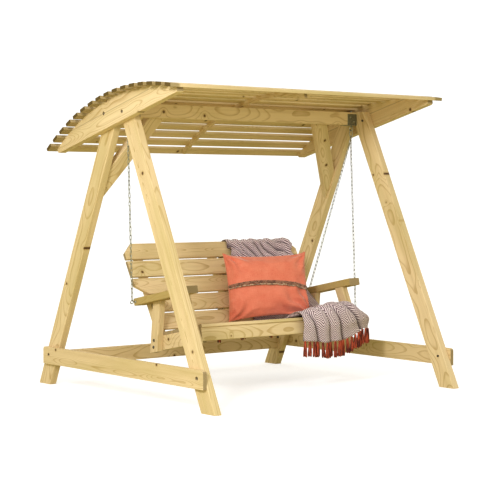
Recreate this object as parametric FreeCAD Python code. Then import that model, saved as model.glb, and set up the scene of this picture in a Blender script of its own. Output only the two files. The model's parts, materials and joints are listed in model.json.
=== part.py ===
"""Garden swing seat: a slatted bench hung on four chains inside a timber stand with an arched slatted roof.

Millimetres. +X runs along the seat, +Y to the rear, +Z up; the origin lies on the ground, midway between
the four feet. The bench is drawn in its own seat frame, which is tipped back and then hung in the stand.
"""
import FreeCAD, Part
import os
from math import asin, atan, cos, pi, radians, sin, sqrt, tan

V = FreeCAD.Vector
X, Y, Z = V(1, 0, 0), V(0, 1, 0), V(0, 0, 1)
SIDES = (("left", -1), ("right", 1))

# Stand
frame_width = 1900.0
foot_spread = 1874.0
leg_thick = 48.0
leg_width = 117.0
leg_lean = 25.3
leg_top = 1748.0
timber_ease = 3.0
rod_flats = 10

beam_width = 70.0
beam_height = 84.0
beam_below_leg_top = 2.0

side_stretcher_thick = 24.0
side_stretcher_height = 107.0
side_stretcher_bottom = 135.0
side_stretcher_front_inset = -14.0
side_stretcher_rear_inset = 4.0
side_stretcher_corner = 18.0
stretcher_bolt_share = 0.55
stretcher_bolt_forward = 20.0
rear_stretcher_thick = 45.0
rear_stretcher_height = 95.0
rear_stretcher_bottom = 115.0
rear_stretcher_set_back = 17.0

brace_thick = 45.0
brace_width = 100.0
brace_angle = 29.5
brace_beam_inset = 300.0
brace_setback = 15.0

# Roof
roof_width = 2110.0
roof_tilt = 14.0
roof_mid_y = -18.0
roof_gap = 29.0
arch_radius = 1700.0
rib_thick = 45.0
rib_depth = 158.0
rib_board_height = 90.0
rib_half_length = 655.0
rib_end_round = 16.0
rib_bolt_rear_drop = 62.0
rib_bolt_front_drop = 57.0
rib_bolt_offset = 22.0
mid_rib_x = -45.0
mid_rib_thick = 22.0
mid_rib_depth = 26.0
mid_rib_inset = 18.0
roof_slat_count = 16
roof_slat_width = 55.0
roof_slat_thick = 20.0
roof_slat_overhang = 22.0
leg_slat_clear = 3.0

# Beam shoes and their eyes
shoe_plate = 2.0
shoe_length = 78.0
shoe_height = 74.0
shoe_screw_head = 9.0
shoe_screw_rise = 2.0
shoe_screw_shank = 4.5
shoe_screw_length = 30.0
eye_inset = 16.5
eye_wire = 7.0
eye_bore = 20.0
eye_neck = 4.0
eye_shank = 8.0
nut_across = 13.0
nut_height = 6.5
washer_size = 20.0
washer_thick = 1.6
thread_stub = 4.0

# Quick links and chains
quick_wire = 5.0
quick_inner_length = 42.0
quick_inner_width = 18.0
link_bar = 3.6
link_pitch = 26.0
link_inner_width = 7.4
quick_clearance = 0.4
link_clearance = 0.9
chain_pair_gap = 3.2
chain_pair_rise = 2.1

# Bench seat
seat_tilt = 10.8
seat_front_y = -332.0
seat_front_z = 442.0
seat_width = 1200.0
seat_slat_count = 4
seat_slat_width = 95.0
seat_slat_gap = 9.0
seat_slat_thick = 20.0
seat_nose = 8.0
apron_thick = 22.0
apron_height = 80.0
seat_rail_thick = 45.0
seat_rail_height = 90.0
middle_rail_height = 55.0
rear_rail_height = 50.0

# Bench back
back_width = 1380.0
back_recline = 18.8
back_slat_count = 5
back_slat_width = 109.0
back_slat_gap = 12.0
back_slat_thick = 20.0
back_low_slats = 2
back_base_rise = 19.0
back_seat_gap = 14.0
top_corner_clip = 66.0
arm_corner_clip = 90.0
arm_corner_clip_height = 60.0
stile_width = 45.0
stile_depth = 45.0
stile_top_inset = 25.0

# Arms and posts
arm_width = 85.0
arm_thick = 45.0
arm_underside = 184.0
arm_front_overhang = 12.0
arm_corner_round = 12.0
post_thick = 45.0
post_width = 70.0
front_post_top = 103.0
front_post_lean = 14.0
rear_post_top = 366.0
rear_post_lean = -16.7
front_post_drop = 6.0
rear_post_drop = 6.0

# Bench eyes and bolts
bench_eye_wire = 6.0
bench_eye_bore = 16.0
bench_eye_shank = 8.0
bench_eye_neck = 12.0
bench_eye_depth = 37.0
front_eye_height = 25.0
front_eye_inset = 13.0
rear_eye_inset = 17.0
bolt_shank = 8.0
bolt_head = 20.0
bolt_head_rise = 4.0
bolt_sink = 24.0
bolt_sink_depth = 8.0
bench_bolt_length = 78.0
bench_bolt_spacing = 40.0

# Cushion and throw, loose on the bench
cushion_width = 560.0
cushion_height = 425.0
cushion_thick = 140.0
cushion_steps = 6
cushion_draw_in = 16.0
cushion_x = 172.0
cushion_stand_off = 217.0
cushion_up = 169.0
cushion_clear = 0.4
cushion_settle_slope = 25.0
cushion_turn = -22.0
cushion_lean = -17.0
cushion_roll = -0.6
throw_back_left = 98.0
throw_back_right = 640.0
throw_front_left = 140.0
throw_front_right = 715.0
throw_side_clear = 4.0
throw_thick = 8.0
throw_clear = 0.5
throw_fold = 14.0
throw_steps = 4
throw_hump = 50.0
throw_rear_drop = 520.0
throw_front_drop = 132.0
fringe_length = 112.0

# Worked out
lean = radians(leg_lean)
half_frame = frame_width / 2
leg_inboard = half_frame - leg_thick
leg_cut = leg_width / cos(lean)
half_spread = foot_spread / 2
beam_top = leg_top - beam_below_leg_top
beam_bottom = beam_top - beam_height
tilt = radians(roof_tilt)
rib_chord = arch_radius - rib_depth
arch_y = roof_mid_y - rib_chord * sin(tilt)
arch_z = beam_top + roof_gap - sqrt(arch_radius ** 2 - arch_y ** 2)
rib_outer = half_frame + rib_thick
eye_x = leg_inboard - eye_inset
eye_centre_z = beam_bottom - shoe_plate - eye_neck - eye_wire - eye_bore / 2
pivot_z = eye_centre_z - eye_bore / 2 + quick_wire / 2 + quick_clearance
quick_bottom_z = pivot_z - quick_inner_length - quick_wire
half_seat = seat_width / 2
seat_depth = seat_slat_count * (seat_slat_width + seat_slat_gap) - seat_slat_gap - seat_nose
back_height = back_slat_count * (back_slat_width + back_slat_gap) - back_slat_gap
stile_outer = half_seat
post_outer = half_seat + post_thick
arm_outer = half_seat + arm_width
reach = 4000.0


def leg_front_edge(height):
    """Y of the front edge of the front legs at a height; the rear legs mirror it."""
    return -half_spread + height * tan(lean)


def section(width, thick, ease):
    """An upright rectangle about the origin in the XY plane with its four corners eased."""
    w, t = width / 2, thick / 2
    points = []
    for sx, sy, first in ((1, 1, True), (-1, 1, False), (-1, -1, True), (1, -1, False)):
        pair = [V(sx * w, sy * (t - ease), 0), V(sx * (w - ease), sy * t, 0)]
        points += pair if first else pair[::-1]
    return Part.Face(Part.makePolygon(points + points[:1]))


def frame_at(origin, along, across):
    """A placement whose Z runs along the first direction and whose X lies nearest the second."""
    z_axis = V(along).normalize()
    y_axis = z_axis.cross(across).normalize()
    x_axis = y_axis.cross(z_axis)
    m = FreeCAD.Matrix(x_axis.x, y_axis.x, z_axis.x, origin.x,
                       x_axis.y, y_axis.y, z_axis.y, origin.y,
                       x_axis.z, y_axis.z, z_axis.z, origin.z, 0, 0, 0, 1)
    return FreeCAD.Placement(m)


def board(start, end, across, width, thick, ease=None):
    """An eased board about the line from start to end, its width lying nearest the given direction."""
    run = end - start
    face = section(width, thick, timber_ease if ease is None else ease)
    solid = face.extrude(V(0, 0, run.Length))
    solid.Placement = frame_at(start, run, across)
    return solid


def trim(shape, point, outward):
    """The shape without what lies beyond a plane."""
    block = Part.makeBox(reach, reach, reach, V(-reach / 2, -reach / 2, 0))
    across = X if abs(V(outward).normalize().dot(X)) < 0.9 else Y
    block.Placement = frame_at(point, outward, across)
    return shape.cut(block)


def mirrored(shape):
    return shape.mirror(V(0, 0, 0), X)


def prism(start, direction, radius, sides, height):
    """A flat-sided bar standing on a point, its corners at the radius."""
    ring = [V(radius * cos(2 * pi * k / sides), radius * sin(2 * pi * k / sides), 0) for k in range(sides)]
    solid = Part.Face(Part.makePolygon(ring + ring[:1])).extrude(V(0, 0, height))
    solid.Placement = frame_at(start, direction, X if abs(V(direction).normalize().dot(X)) < 0.9 else Y)
    return solid


def rod(start, end, diameter):
    """A shank, washer or drilled hole, with as many flats as so small a thing needs."""
    return prism(start, end - start, diameter / 2, rod_flats, (end - start).Length)


def hexagon(start, direction, across_flats, height):
    """A hexagonal nut standing on a point."""
    return prism(start, direction, across_flats / sqrt(3), 6, height)


def skinned(loops):
    """A closed solid with flat facets through a run of like loops of points."""
    faces = [Part.Face(Part.makePolygon(loop + loop[:1])) for loop in (loops[0], loops[-1])]
    for one, two in zip(loops, loops[1:]):
        for j in range(len(one)):
            i = (j + 1) % len(one)
            for corners in ([one[j], one[i], two[i]], [one[j], two[i], two[j]]):
                faces.append(Part.Face(Part.makePolygon(corners + corners[:1])))
    solid = Part.Solid(Part.Shell(faces))
    solid.fix(1e-4, 1e-5, 1e-3)
    return solid


def bow(start, middle, end, steps):
    """Points along the arc through three points, without the last."""
    arc = Part.Arc(start, middle, end)
    return arc.toShape().discretize(steps + 1)[:-1]


def bar_ring(corners, centre, across, up, size, sides):
    """A closed ring of flat-sided bar whose centre line has the given (across, up) corners."""
    count = len(corners)
    normal = across.cross(up).normalize()
    reach_out = size / 2 / cos(pi / sides)
    loops = []
    for k in range(count):
        before, here, after = (V(*corners[(k + d) % count], 0) for d in (-1, 0, 1))
        d1, d2 = (here - before).normalize(), (after - here).normalize()
        mitre = V(d1.y + d2.y, -d1.x - d2.x, 0)
        mitre = mitre / mitre.dot(V(d1.y, -d1.x, 0))
        loop = []
        for j in range(sides):
            turn = 2 * pi * (j + 0.5) / sides
            a, b = reach_out * cos(turn), reach_out * sin(turn)
            flat = here + mitre * a
            loop.append(centre + across * flat.x + up * flat.y + normal * b)
        loops.append(loop)
    faces = []
    for k in range(count):
        one, two = loops[k], loops[(k + 1) % count]
        for j in range(sides):
            i = (j + 1) % sides
            faces.append(Part.Face(Part.makePolygon([one[j], one[i], two[i], two[j], one[j]])))
    return Part.Solid(Part.Shell(faces))


def round_corners(radius, count):
    """Corners of a regular ring with a flat on the up axis."""
    r = radius / cos(pi / count)
    return [(r * sin(2 * pi * (k + 0.5) / count), r * cos(2 * pi * (k + 0.5) / count))
            for k in range(count)]


def oval_corners(inner_length, inner_width, bar, steps):
    """Centre-line corners of a long link with rounded ends, flat at its two ends."""
    r = (inner_width + bar) / 2
    straight = (inner_length + bar) / 2 - r
    corner = r / cos(pi / 2 / steps)
    ends = []
    for side in (1, -1):
        for k in range(steps):
            turn = pi * (k + 0.5) / steps
            ends.append((side * corner * cos(turn), side * (straight + corner * sin(turn))))
    return ends


def leg(side, toward_rear):
    """One leg of an A-frame, cut level at the foot, level at the top and mitred on the middle plane."""
    x = side * (half_frame - leg_thick / 2)
    direction = V(0, sin(lean), cos(lean))
    foot = V(x, -half_spread + leg_cut / 2, 0)
    solid = board(foot - direction * 100, foot + direction * 2100, Y, leg_width, leg_thick)
    solid = trim(solid, V(0, 0, 0), -Z)
    solid = trim(solid, V(0, 0, 0), Y)
    if toward_rear:
        solid = solid.mirror(V(0, 0, 0), Y)
    solid = trim(solid, V(0, 0, leg_top), Z)
    return solid.common(roof_drum(arch_radius - leg_slat_clear))


def roof_drum(radius):
    """A drum of the arch's own centre, as long as the reach."""
    return Part.makeCylinder(radius, reach, V(-reach / 2, arch_y, arch_z), X)


def in_roof(u, v):
    """Rib coordinates, along the chord and up from the arch's centre, as a point in the YZ plane."""
    return V(0, arch_y + u * cos(tilt) + v * sin(tilt), arch_z - u * sin(tilt) + v * cos(tilt))


def arch_point(radius, u):
    return in_roof(u, sqrt(radius ** 2 - u ** 2))


def rib_profile(low, high_radius, half_length, end_round):
    """Straight below, arched above, blunt at both ends with the lower corners rounded off."""
    a, b = in_roof(-half_length, low + end_round), arch_point(high_radius, -half_length)
    c, d = arch_point(high_radius, half_length), in_roof(half_length, low + end_round)
    k = end_round * (1 - sqrt(0.5))
    e, f = in_roof(half_length - end_round, low), in_roof(-half_length + end_round, low)
    edges = [
        Part.LineSegment(a, b).toShape(),
        Part.Arc(b, arch_point(high_radius, 0), c).toShape(),
        Part.LineSegment(c, d).toShape(),
        Part.Arc(d, in_roof(half_length - k, low + k), e).toShape(),
        Part.LineSegment(e, f).toShape(),
        Part.Arc(f, in_roof(-half_length + k, low + k), a).toShape(),
    ]
    return Part.Face(Part.Wire(edges))


def rib_parts(side):
    """The lower board and the arched board above it, edge to edge, on the outboard face of the legs."""
    whole = rib_profile(rib_chord, arch_radius, rib_half_length, rib_end_round).extrude(X * rib_thick)
    whole.translate(X * half_frame)
    seam = rib_chord + rib_board_height
    lower = trim(whole, in_roof(0, seam), in_roof(0, 1) - in_roof(0, 0))
    upper = trim(whole, in_roof(0, seam), in_roof(0, 0) - in_roof(0, 1))
    holes = [rod(V(half_frame, y, z), V(half_frame + reach, y, z), bolt_shank) for y, z in rib_bolt_points()]
    holes += [rod(V(rib_outer - bolt_sink_depth, y, z), V(reach, y, z), bolt_sink)
              for y, z in rib_bolt_points()]
    pieces = [lower.cut(holes), upper.cut(holes)]
    return pieces if side > 0 else [mirrored(piece) for piece in pieces]


def rib_bolt_points():
    """Where the rib is bolted to the rear and the front leg, a little outside the legs' centre lines."""
    points = []
    for drop, way in ((rib_bolt_rear_drop, 1), (rib_bolt_front_drop, -1)):
        height = beam_top - drop
        points.append((way * (rib_bolt_offset - leg_front_edge(height) - leg_cut / 2), height))
    return points


def middle_rib():
    """A thin curved batten under the slats, a little left of the middle, notched over the beam."""
    outer = arch_radius
    inner = arch_radius - mid_rib_depth
    half = rib_half_length - mid_rib_inset
    edges = [
        Part.Arc(arch_point(outer, -half), arch_point(outer, 0), arch_point(outer, half)).toShape(),
        Part.LineSegment(arch_point(outer, half), arch_point(inner, half)).toShape(),
        Part.Arc(arch_point(inner, half), arch_point(inner, 0), arch_point(inner, -half)).toShape(),
        Part.LineSegment(arch_point(inner, -half), arch_point(outer, -half)).toShape(),
    ]
    batten = Part.Face(Part.Wire(edges)).extrude(X * mid_rib_thick)
    batten.translate(X * (mid_rib_x - mid_rib_thick / 2))
    notch = Part.makeBox(reach, beam_width, beam_height, V(-reach / 2, -beam_width / 2, beam_bottom))
    return batten.cut(notch)


def roof_slats():
    """Flat slats laid tangent to the arch at an even pitch, from the rear to the front."""
    end_angle = asin((rib_half_length + roof_slat_overhang) / arch_radius)
    slat_angle = 2 * atan(roof_slat_width / 2 / arch_radius)
    pitch = (2 * end_angle - slat_angle) / (roof_slat_count - 1)
    slats = []
    for k in range(roof_slat_count):
        turn = end_angle - slat_angle / 2 - k * pitch
        out = in_roof(sin(turn), cos(turn)) - in_roof(0, 0)
        middle = V(0, arch_y, arch_z) + out * (arch_radius + roof_slat_thick / 2)
        half = X * (roof_width / 2)
        slats.append(board(middle - half, middle + half, out.cross(X), roof_slat_width, roof_slat_thick, 2.0))
    return slats


def ridge_beam():
    half = leg_inboard - shoe_plate
    middle = (beam_top + beam_bottom) / 2
    beam = board(V(-half, 0, middle), V(half, 0, middle), Y, beam_width, beam_height)
    holes = [rod(V(s * eye_x, 0, beam_bottom), V(s * eye_x, 0, beam_top), eye_shank) for _, s in SIDES]
    holes += [rod(start, end, shoe_screw_shank) for start, end in shoe_screw_lines()]
    return beam.cut(holes)


def beam_shoe(side):
    """A folded plate that cups the end of the beam, with its back against the legs."""
    inner = V(leg_inboard - shoe_length, -beam_width / 2, beam_bottom)
    outer = inner - V(0, shoe_plate, shoe_plate)
    body = Part.makeBox(shoe_length, beam_width + 2 * shoe_plate, shoe_height, outer)
    body = body.cut(Part.makeBox(shoe_length - shoe_plate, beam_width, reach, inner))
    body = body.cut(rod(V(eye_x, 0, 0), V(eye_x, 0, beam_bottom), eye_shank))
    body = body.cut([rod(a, b, shoe_screw_shank) for a, b in shoe_screw_lines()])
    return body if side > 0 else mirrored(body)


def shoe_screw_lines():
    """Two screws through each cheek of each shoe, from the cheek's face into the beam."""
    lines = []
    face = beam_width / 2 + shoe_plate
    for _, side in SIDES:
        for front in (-1, 1):
            for across, height in ((0.30, 0.30), (0.70, 0.68)):
                x = side * (leg_inboard - shoe_length * across)
                z = beam_bottom + shoe_height * height
                lines.append((V(x, front * face, z), V(x, front * (face - shoe_screw_length), z)))
    return lines


def shoe_screws():
    screws = []
    for start, end in shoe_screw_lines():
        away = (start - end).normalize()
        head = rod(start, start + away * shoe_screw_rise, shoe_screw_head)
        screws.append(rod(end, start, shoe_screw_shank).fuse(head))
    return screws


def beam_eye(side):
    """An eye bolt up through the shoe and the beam, with its washer and nut on top of the beam."""
    across_x = V(side * eye_x, 0, 0)
    ring = bar_ring(round_corners((eye_bore + eye_wire) / 2, 12), across_x + Z * eye_centre_z,
                    Y, Z, eye_wire, 8)
    under = beam_bottom - shoe_plate
    collar_top = across_x + Z * under
    shank = rod(collar_top, across_x + Z * (beam_top + washer_thick + nut_height + thread_stub), eye_shank)
    neck = rod(across_x + Z * (eye_centre_z + eye_bore / 2 + eye_wire / 2), collar_top, eye_shank + 3)
    washer = rod(across_x + Z * beam_top, across_x + Z * (beam_top + washer_thick), washer_size)
    nut = hexagon(across_x + Z * (beam_top + washer_thick), Z, nut_across, nut_height)
    return ring.fuse([neck, shank, washer, nut])


def knee_brace(side):
    """A flat board from the back of the beam down to the inboard face of the rear leg."""
    down = V(0, sin(lean), -cos(lean))
    direction = (down * cos(radians(brace_angle)) + X * sin(radians(brace_angle))).normalize()
    depth = brace_setback + brace_thick / 2
    y_mid = -leg_front_edge(beam_bottom) - leg_cut + depth / cos(lean)
    across = brace_width / cos(radians(brace_angle))
    at_beam = V(leg_inboard - brace_beam_inset + across / 2, y_mid, beam_bottom)
    solid = board(at_beam - direction * 300, at_beam + direction * 1200, X, brace_width, brace_thick)
    solid = trim(solid, V(leg_inboard, 0, 0), X)
    solid = trim(solid, V(0, beam_width / 2, 0), -Y)
    solid = solid.common(roof_drum(arch_radius - leg_slat_clear))
    solid = trim(solid, V(0, 0, leg_top), Z)
    return solid if side > 0 else mirrored(solid)


def side_stretcher(side):
    """A board on the outboard faces of both legs of one A-frame, its upper corners rounded."""
    low, high = side_stretcher_bottom, side_stretcher_bottom + side_stretcher_height
    front, rear = stretcher_ends()
    r = side_stretcher_corner
    k = r * (1 - sqrt(0.5))
    edges = [
        Part.LineSegment(V(0, front, low), V(0, rear, low)).toShape(),
        Part.LineSegment(V(0, rear, low), V(0, rear, high - r)).toShape(),
        Part.Arc(V(0, rear, high - r), V(0, rear - k, high - k), V(0, rear - r, high)).toShape(),
        Part.LineSegment(V(0, rear - r, high), V(0, front + r, high)).toShape(),
        Part.Arc(V(0, front + r, high), V(0, front + k, high - k), V(0, front, high - r)).toShape(),
        Part.LineSegment(V(0, front, high - r), V(0, front, low)).toShape(),
    ]
    solid = Part.Face(Part.Wire(edges)).extrude(X * side_stretcher_thick)
    solid.translate(X * half_frame)
    face = half_frame + side_stretcher_thick
    for y, z in stretcher_bolt_points():
        solid = solid.cut(rod(V(half_frame, y, z), V(face, y, z), bolt_shank))
        solid = solid.cut(rod(V(face - bolt_sink_depth, y, z), V(face, y, z), bolt_sink))
    return solid if side > 0 else mirrored(solid)


def stretcher_ends():
    middle = side_stretcher_bottom + side_stretcher_height / 2
    return (leg_front_edge(middle) + side_stretcher_front_inset,
            -leg_front_edge(middle) - side_stretcher_rear_inset)


def stretcher_bolt_points():
    """One bolt through each leg where the side stretcher crosses it, the front one ahead of the leg's middle."""
    z = side_stretcher_bottom + side_stretcher_height * stretcher_bolt_share
    y = leg_front_edge(z) + leg_cut / 2
    return [(y - stretcher_bolt_forward, z), (-y, z)]


def rear_stretcher():
    """A board between the rear legs, set back from their middle so that it passes behind the bolts."""
    z = rear_stretcher_bottom + rear_stretcher_height / 2
    y = -leg_front_edge(z) - leg_cut / 2 + rear_stretcher_set_back
    return board(V(-leg_inboard, y, z), V(leg_inboard, y, z), Y, rear_stretcher_thick, rear_stretcher_height)


def frame_bolt(y, z, face, side):
    """A sunk bolt through the leg, its head in the counterbore and its nut on the inboard face."""
    seat = face - bolt_sink_depth
    inner = leg_inboard
    head = rod(V(seat, y, z), V(seat + bolt_head_rise, y, z), bolt_head)
    shank = rod(V(inner - nut_height - thread_stub, y, z), V(seat, y, z), bolt_shank)
    nut = hexagon(V(inner, y, z), -X, nut_across, nut_height)
    bolt = head.fuse([shank, nut])
    return bolt if side > 0 else mirrored(bolt)


def drilled(shape, side, points):
    """A leg with the bolt holes that its side carries."""
    cuts = [rod(V(side * leg_inboard, y, z), V(side * half_frame, y, z), bolt_shank) for y, z in points]
    return shape.cut(cuts)


def seat_frame():
    """The seat's own frame: Y down the seat to the rear, Z square off the seat's top, from its front edge."""
    return FreeCAD.Placement(V(0, seat_front_y, seat_front_z), FreeCAD.Rotation(X, -seat_tilt))


def back_frame():
    """The back's own frame: Z up the face of the slats, Y into the back."""
    inside = FreeCAD.Placement(V(0, seat_depth + back_seat_gap, back_base_rise),
                               FreeCAD.Rotation(X, -back_recline))
    return seat_frame().multiply(inside)


def placed(shape, placement):
    shape.Placement = placement.multiply(shape.Placement)
    return shape


def back_line(height, depth=0.0):
    """Seat-frame Y of a plane parallel to the back's face, some depth behind it, at a seat-frame height."""
    slope = tan(radians(back_recline))
    return seat_depth + back_seat_gap + (height - back_base_rise) * slope + depth / cos(radians(back_recline))


def seat_slats():
    slats = []
    for k in range(seat_slat_count):
        y = -seat_nose + seat_slat_width / 2 + k * (seat_slat_width + seat_slat_gap)
        z = -seat_slat_thick / 2
        slat = board(V(-half_seat, y, z), V(half_seat, y, z), Y, seat_slat_width, seat_slat_thick)
        slats.append(placed(slat, seat_frame()))
    return slats


def seat_apron():
    y = apron_thick / 2
    z = -seat_slat_thick - apron_height / 2
    return placed(board(V(-half_seat, y, z), V(half_seat, y, z), Y, apron_thick, apron_height), seat_frame())


def seat_rail(x, height, rear_end):
    """A bearer from the apron rearward under the slats."""
    top = -seat_slat_thick
    start = V(x, apron_thick, top - height / 2)
    rail = board(start, V(x, rear_end, start.z), X, seat_rail_thick, height)
    return rail


def side_rail(side):
    """The side bearer, whose rear end is cut to the slope of the stile that it meets."""
    rail = seat_rail(side * (half_seat - seat_rail_thick / 2), seat_rail_height, seat_depth + 300)
    foot = V(0, back_line(0, back_slat_thick), 0)
    slope = radians(back_recline)
    rail = trim(rail, foot, V(0, cos(slope), -sin(slope)))
    return placed(rail, seat_frame())


def rear_rail_span():
    """Front and rear faces of the rear cross rail, just ahead of where the stiles stand."""
    low = -seat_slat_thick - rear_rail_height
    rear = back_line(low, back_slat_thick)
    return rear - seat_rail_thick, rear


def middle_rail():
    return placed(seat_rail(0, middle_rail_height, rear_rail_span()[0]), seat_frame())


def rear_rail():
    front, rear = rear_rail_span()
    half = half_seat - seat_rail_thick
    z = -seat_slat_thick - rear_rail_height / 2
    y = (front + rear) / 2
    rail = board(V(-half, y, z), V(half, y, z), Y, seat_rail_thick, rear_rail_height)
    return placed(rail, seat_frame())


def back_slats():
    """Slats from the bottom up: two between the arms, one with clipped lower corners, the rest full width."""
    slats = []
    for k in range(back_slat_count):
        half = half_seat if k < back_low_slats else back_width / 2
        low = k * (back_slat_width + back_slat_gap)
        y, z = back_slat_thick / 2, low + back_slat_width / 2
        slat = board(V(-half, y, z), V(half, y, z), Z, back_slat_width, back_slat_thick)
        for _, side in SIDES:
            if k == back_low_slats:
                corner = V(side * (half - arm_corner_clip), 0, low)
                slat = trim(slat, corner, V(side * arm_corner_clip_height, 0, -arm_corner_clip))
            if k == back_slat_count - 1:
                corner = V(side * (half - top_corner_clip), 0, low + back_slat_width)
                slat = trim(slat, corner, V(side, 0, 1))
        slats.append(placed(slat, back_frame()))
    return slats


def back_stile(x):
    """An upright behind the slats, its foot cut level with the bottom of the seat rails."""
    y = back_slat_thick + stile_depth / 2
    stile = board(V(x, y, -400), V(x, y, back_height - stile_top_inset), X, stile_width, stile_depth)
    stile = placed(stile, back_frame())
    height = seat_rail_height if x else rear_rail_height
    foot = seat_frame().multVec(V(0, 0, -seat_slat_thick - height))
    down = seat_frame().Rotation.multVec(-Z)
    return trim(stile, foot, down)


def arm_end():
    """Seat-frame Y of the rear end of the arms, flush with the rear face of the stiles."""
    return back_line(arm_underside + arm_thick / 2, back_slat_thick + stile_depth)


def arm(side):
    """A flat arm on the two posts, with its two front corners rounded."""
    x = side * (half_seat + arm_width / 2)
    z = arm_underside + arm_thick / 2
    body = board(V(x, -arm_front_overhang, z), V(x, arm_end(), z), X, arm_width, arm_thick)
    return placed(body, seat_frame())


def post_middle(top, lean_angle, height):
    """Seat-frame Y of a post's centre line at a height."""
    return top - (arm_underside - height) * tan(radians(lean_angle))


def post(side, top, lean_angle, drop):
    """A leaning post on the outside of the seat rail, cut parallel with the arm above and the rail below."""
    x = side * (half_seat + post_thick / 2)
    slope = radians(lean_angle)
    direction = V(0, sin(slope), cos(slope))
    head = V(x, top, arm_underside)
    body = board(head - direction * 600, head + direction * 100, X, post_thick, post_width)
    body = trim(body, head, Z)
    body = trim(body, V(0, 0, -seat_slat_thick - seat_rail_height - drop), -Z)
    return placed(body, seat_frame())


def bench_eye_points():
    """World points where the four bench eyes leave the timber: front ones on the posts, rear on the arms."""
    front_y = post_middle(front_post_top, front_post_lean, front_eye_height)
    front_y -= post_width / 2 / cos(radians(front_post_lean)) - front_eye_inset
    rear = V(arm_outer, arm_end() - rear_eye_inset, arm_underside + arm_thick / 2)
    return {"front": seat_frame().multVec(V(post_outer, front_y, front_eye_height)),
            "rear": seat_frame().multVec(rear)}


def eye_loop_centre(where):
    """Centre of a bench eye's loop, outboard of the face that it is screwed into."""
    stand_off = bench_eye_neck + bench_eye_bore / 2 + bench_eye_wire
    return bench_eye_points()[where] + X * stand_off


def chain_line(where):
    """The right-hand chain's upper bar centre, lower bar centre and upward direction."""
    shift = (link_bar + chain_pair_gap) / 2
    top = V(eye_x + (shift if where == "rear" else -shift), 0, quick_bottom_z + chain_pair_rise)
    centre = eye_loop_centre(where)
    up = (top - centre).normalize()
    flat = (up - X * up.x).normalize()
    bottom = centre + flat * ((bench_eye_bore + bench_eye_wire) / 2)
    return top, bottom, (top - bottom).normalize()


def bench_eye(where, side):
    """A screw eye in the side of the bench, its loop turned to take the chain."""
    centre = eye_loop_centre(where)
    up = chain_line(where)[2]
    flat = (up - X * up.x).normalize()
    ring = bar_ring(round_corners((bench_eye_bore + bench_eye_wire) / 2, 12), centre, X, flat,
                    bench_eye_wire, 8)
    foot = bench_eye_points()[where]
    shank = rod(foot - X * (bench_eye_depth), centre - X * (bench_eye_bore + bench_eye_wire) * 0.5,
                bench_eye_shank)
    collar = rod(foot, foot + X * washer_thick, washer_size * 0.8)
    eye = ring.fuse([shank, collar])
    return eye if side > 0 else mirrored(eye)


def eye_hole(where, side):
    foot = bench_eye_points()[where]
    hole = rod(foot - X * (bench_eye_depth), foot, bench_eye_shank)
    return hole if side > 0 else mirrored(hole)


def quick_link(side):
    """The long link that joins the beam eye to the two chains of one side."""
    corners = oval_corners(quick_inner_length, quick_inner_width, quick_wire, 4)
    middle = V(side * eye_x, 0, (pivot_z + quick_bottom_z) / 2)
    return bar_ring(corners, middle, X, Z, quick_wire, 8)


def chain(where, side):
    """Links in turn square to each other, each end hooked round its neighbour with a small clearance."""
    top, bottom, up = chain_line(where)
    distance = (top - bottom).Length
    ends = (quick_wire + bench_eye_wire) / 2 + 2 * link_clearance
    count = 2 * round((distance / link_pitch - 1) / 2) + 1
    inner = (distance + ends + link_clearance * (count - 1)) / count
    flat = (X - up * up.dot(X)).normalize()
    square = up.cross(flat)
    first = top - up * (inner / 2 - quick_wire / 2 - link_clearance)
    corners = oval_corners(inner, link_inner_width, link_bar, 3)
    links = []
    for k in range(count):
        centre = first - up * k * (inner - link_clearance)
        across = square if k % 2 == 0 else flat
        links.append(bar_ring(corners, centre, across, up, link_bar, 4))
    return links if side > 0 else [mirrored(link) for link in links]


def bench_bolts():
    """Bolts through the posts into the seat rails."""
    low = -seat_slat_thick - seat_rail_height / 2
    spots = []
    for rise in (-bench_bolt_spacing / 2, bench_bolt_spacing / 2):
        spots.append((post_middle(front_post_top, front_post_lean, low + rise), low + rise))
        spots.append((post_middle(rear_post_top, rear_post_lean, low + rise), low + rise))
    bolts = []
    for y, z in spots:
        a = V(post_outer, y, z)
        head = rod(a, a + X * bolt_head_rise, bolt_head)
        bolt = rod(a - X * bench_bolt_length, a, bolt_shank).fuse(head)
        bolts.append(placed(bolt, seat_frame()))
    return bolts + [mirrored(bolt) for bolt in bolts]


def cushion_outline(depth, share):
    """A four-cornered outline whose sides bow inward, at a depth from the seam."""
    w, h = cushion_width / 2 * share, cushion_height / 2 * share
    draw = cushion_draw_in * share
    corners = [V(-w, depth, -h), V(w, depth, -h), V(w, depth, h), V(-w, depth, h)]
    middles = [V(0, depth, draw - h), V(w - draw, depth, 0), V(0, depth, h - draw), V(draw - w, depth, 0)]
    points = []
    for k in range(4):
        points += bow(corners[k], middles[k], corners[(k + 1) % 4], cushion_steps)
    return points


def settled(solid, against, direction, clear):
    """The solid moved along a direction until it stands just clear of another."""
    for _ in range(14):
        solid.translate(direction * (solid.distToShape(against)[0] - clear))
    return solid


def cushion(rests_on):
    """A crowned cushion with drawn-in sides that leans on the back, turned a little on the seat."""
    crown = ((-0.5, 0.34), (-0.46, 0.58), (-0.36, 0.80), (-0.18, 0.94), (0.0, 1.0),
             (0.18, 0.94), (0.36, 0.80), (0.46, 0.58), (0.5, 0.34))
    pad = skinned([cushion_outline(cushion_thick * d, share) for d, share in crown])
    turn = FreeCAD.Rotation(Z, cushion_turn).multiply(FreeCAD.Rotation(X, cushion_lean))
    turn = turn.multiply(FreeCAD.Rotation(Y, cushion_roll))
    pad.Placement = FreeCAD.Placement(back_frame().multVec(V(cushion_x, -cushion_stand_off, cushion_up)), turn)
    down = radians(cushion_settle_slope)
    return settled(pad, rests_on, V(0, cos(down), -sin(down)), cushion_clear)


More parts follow.
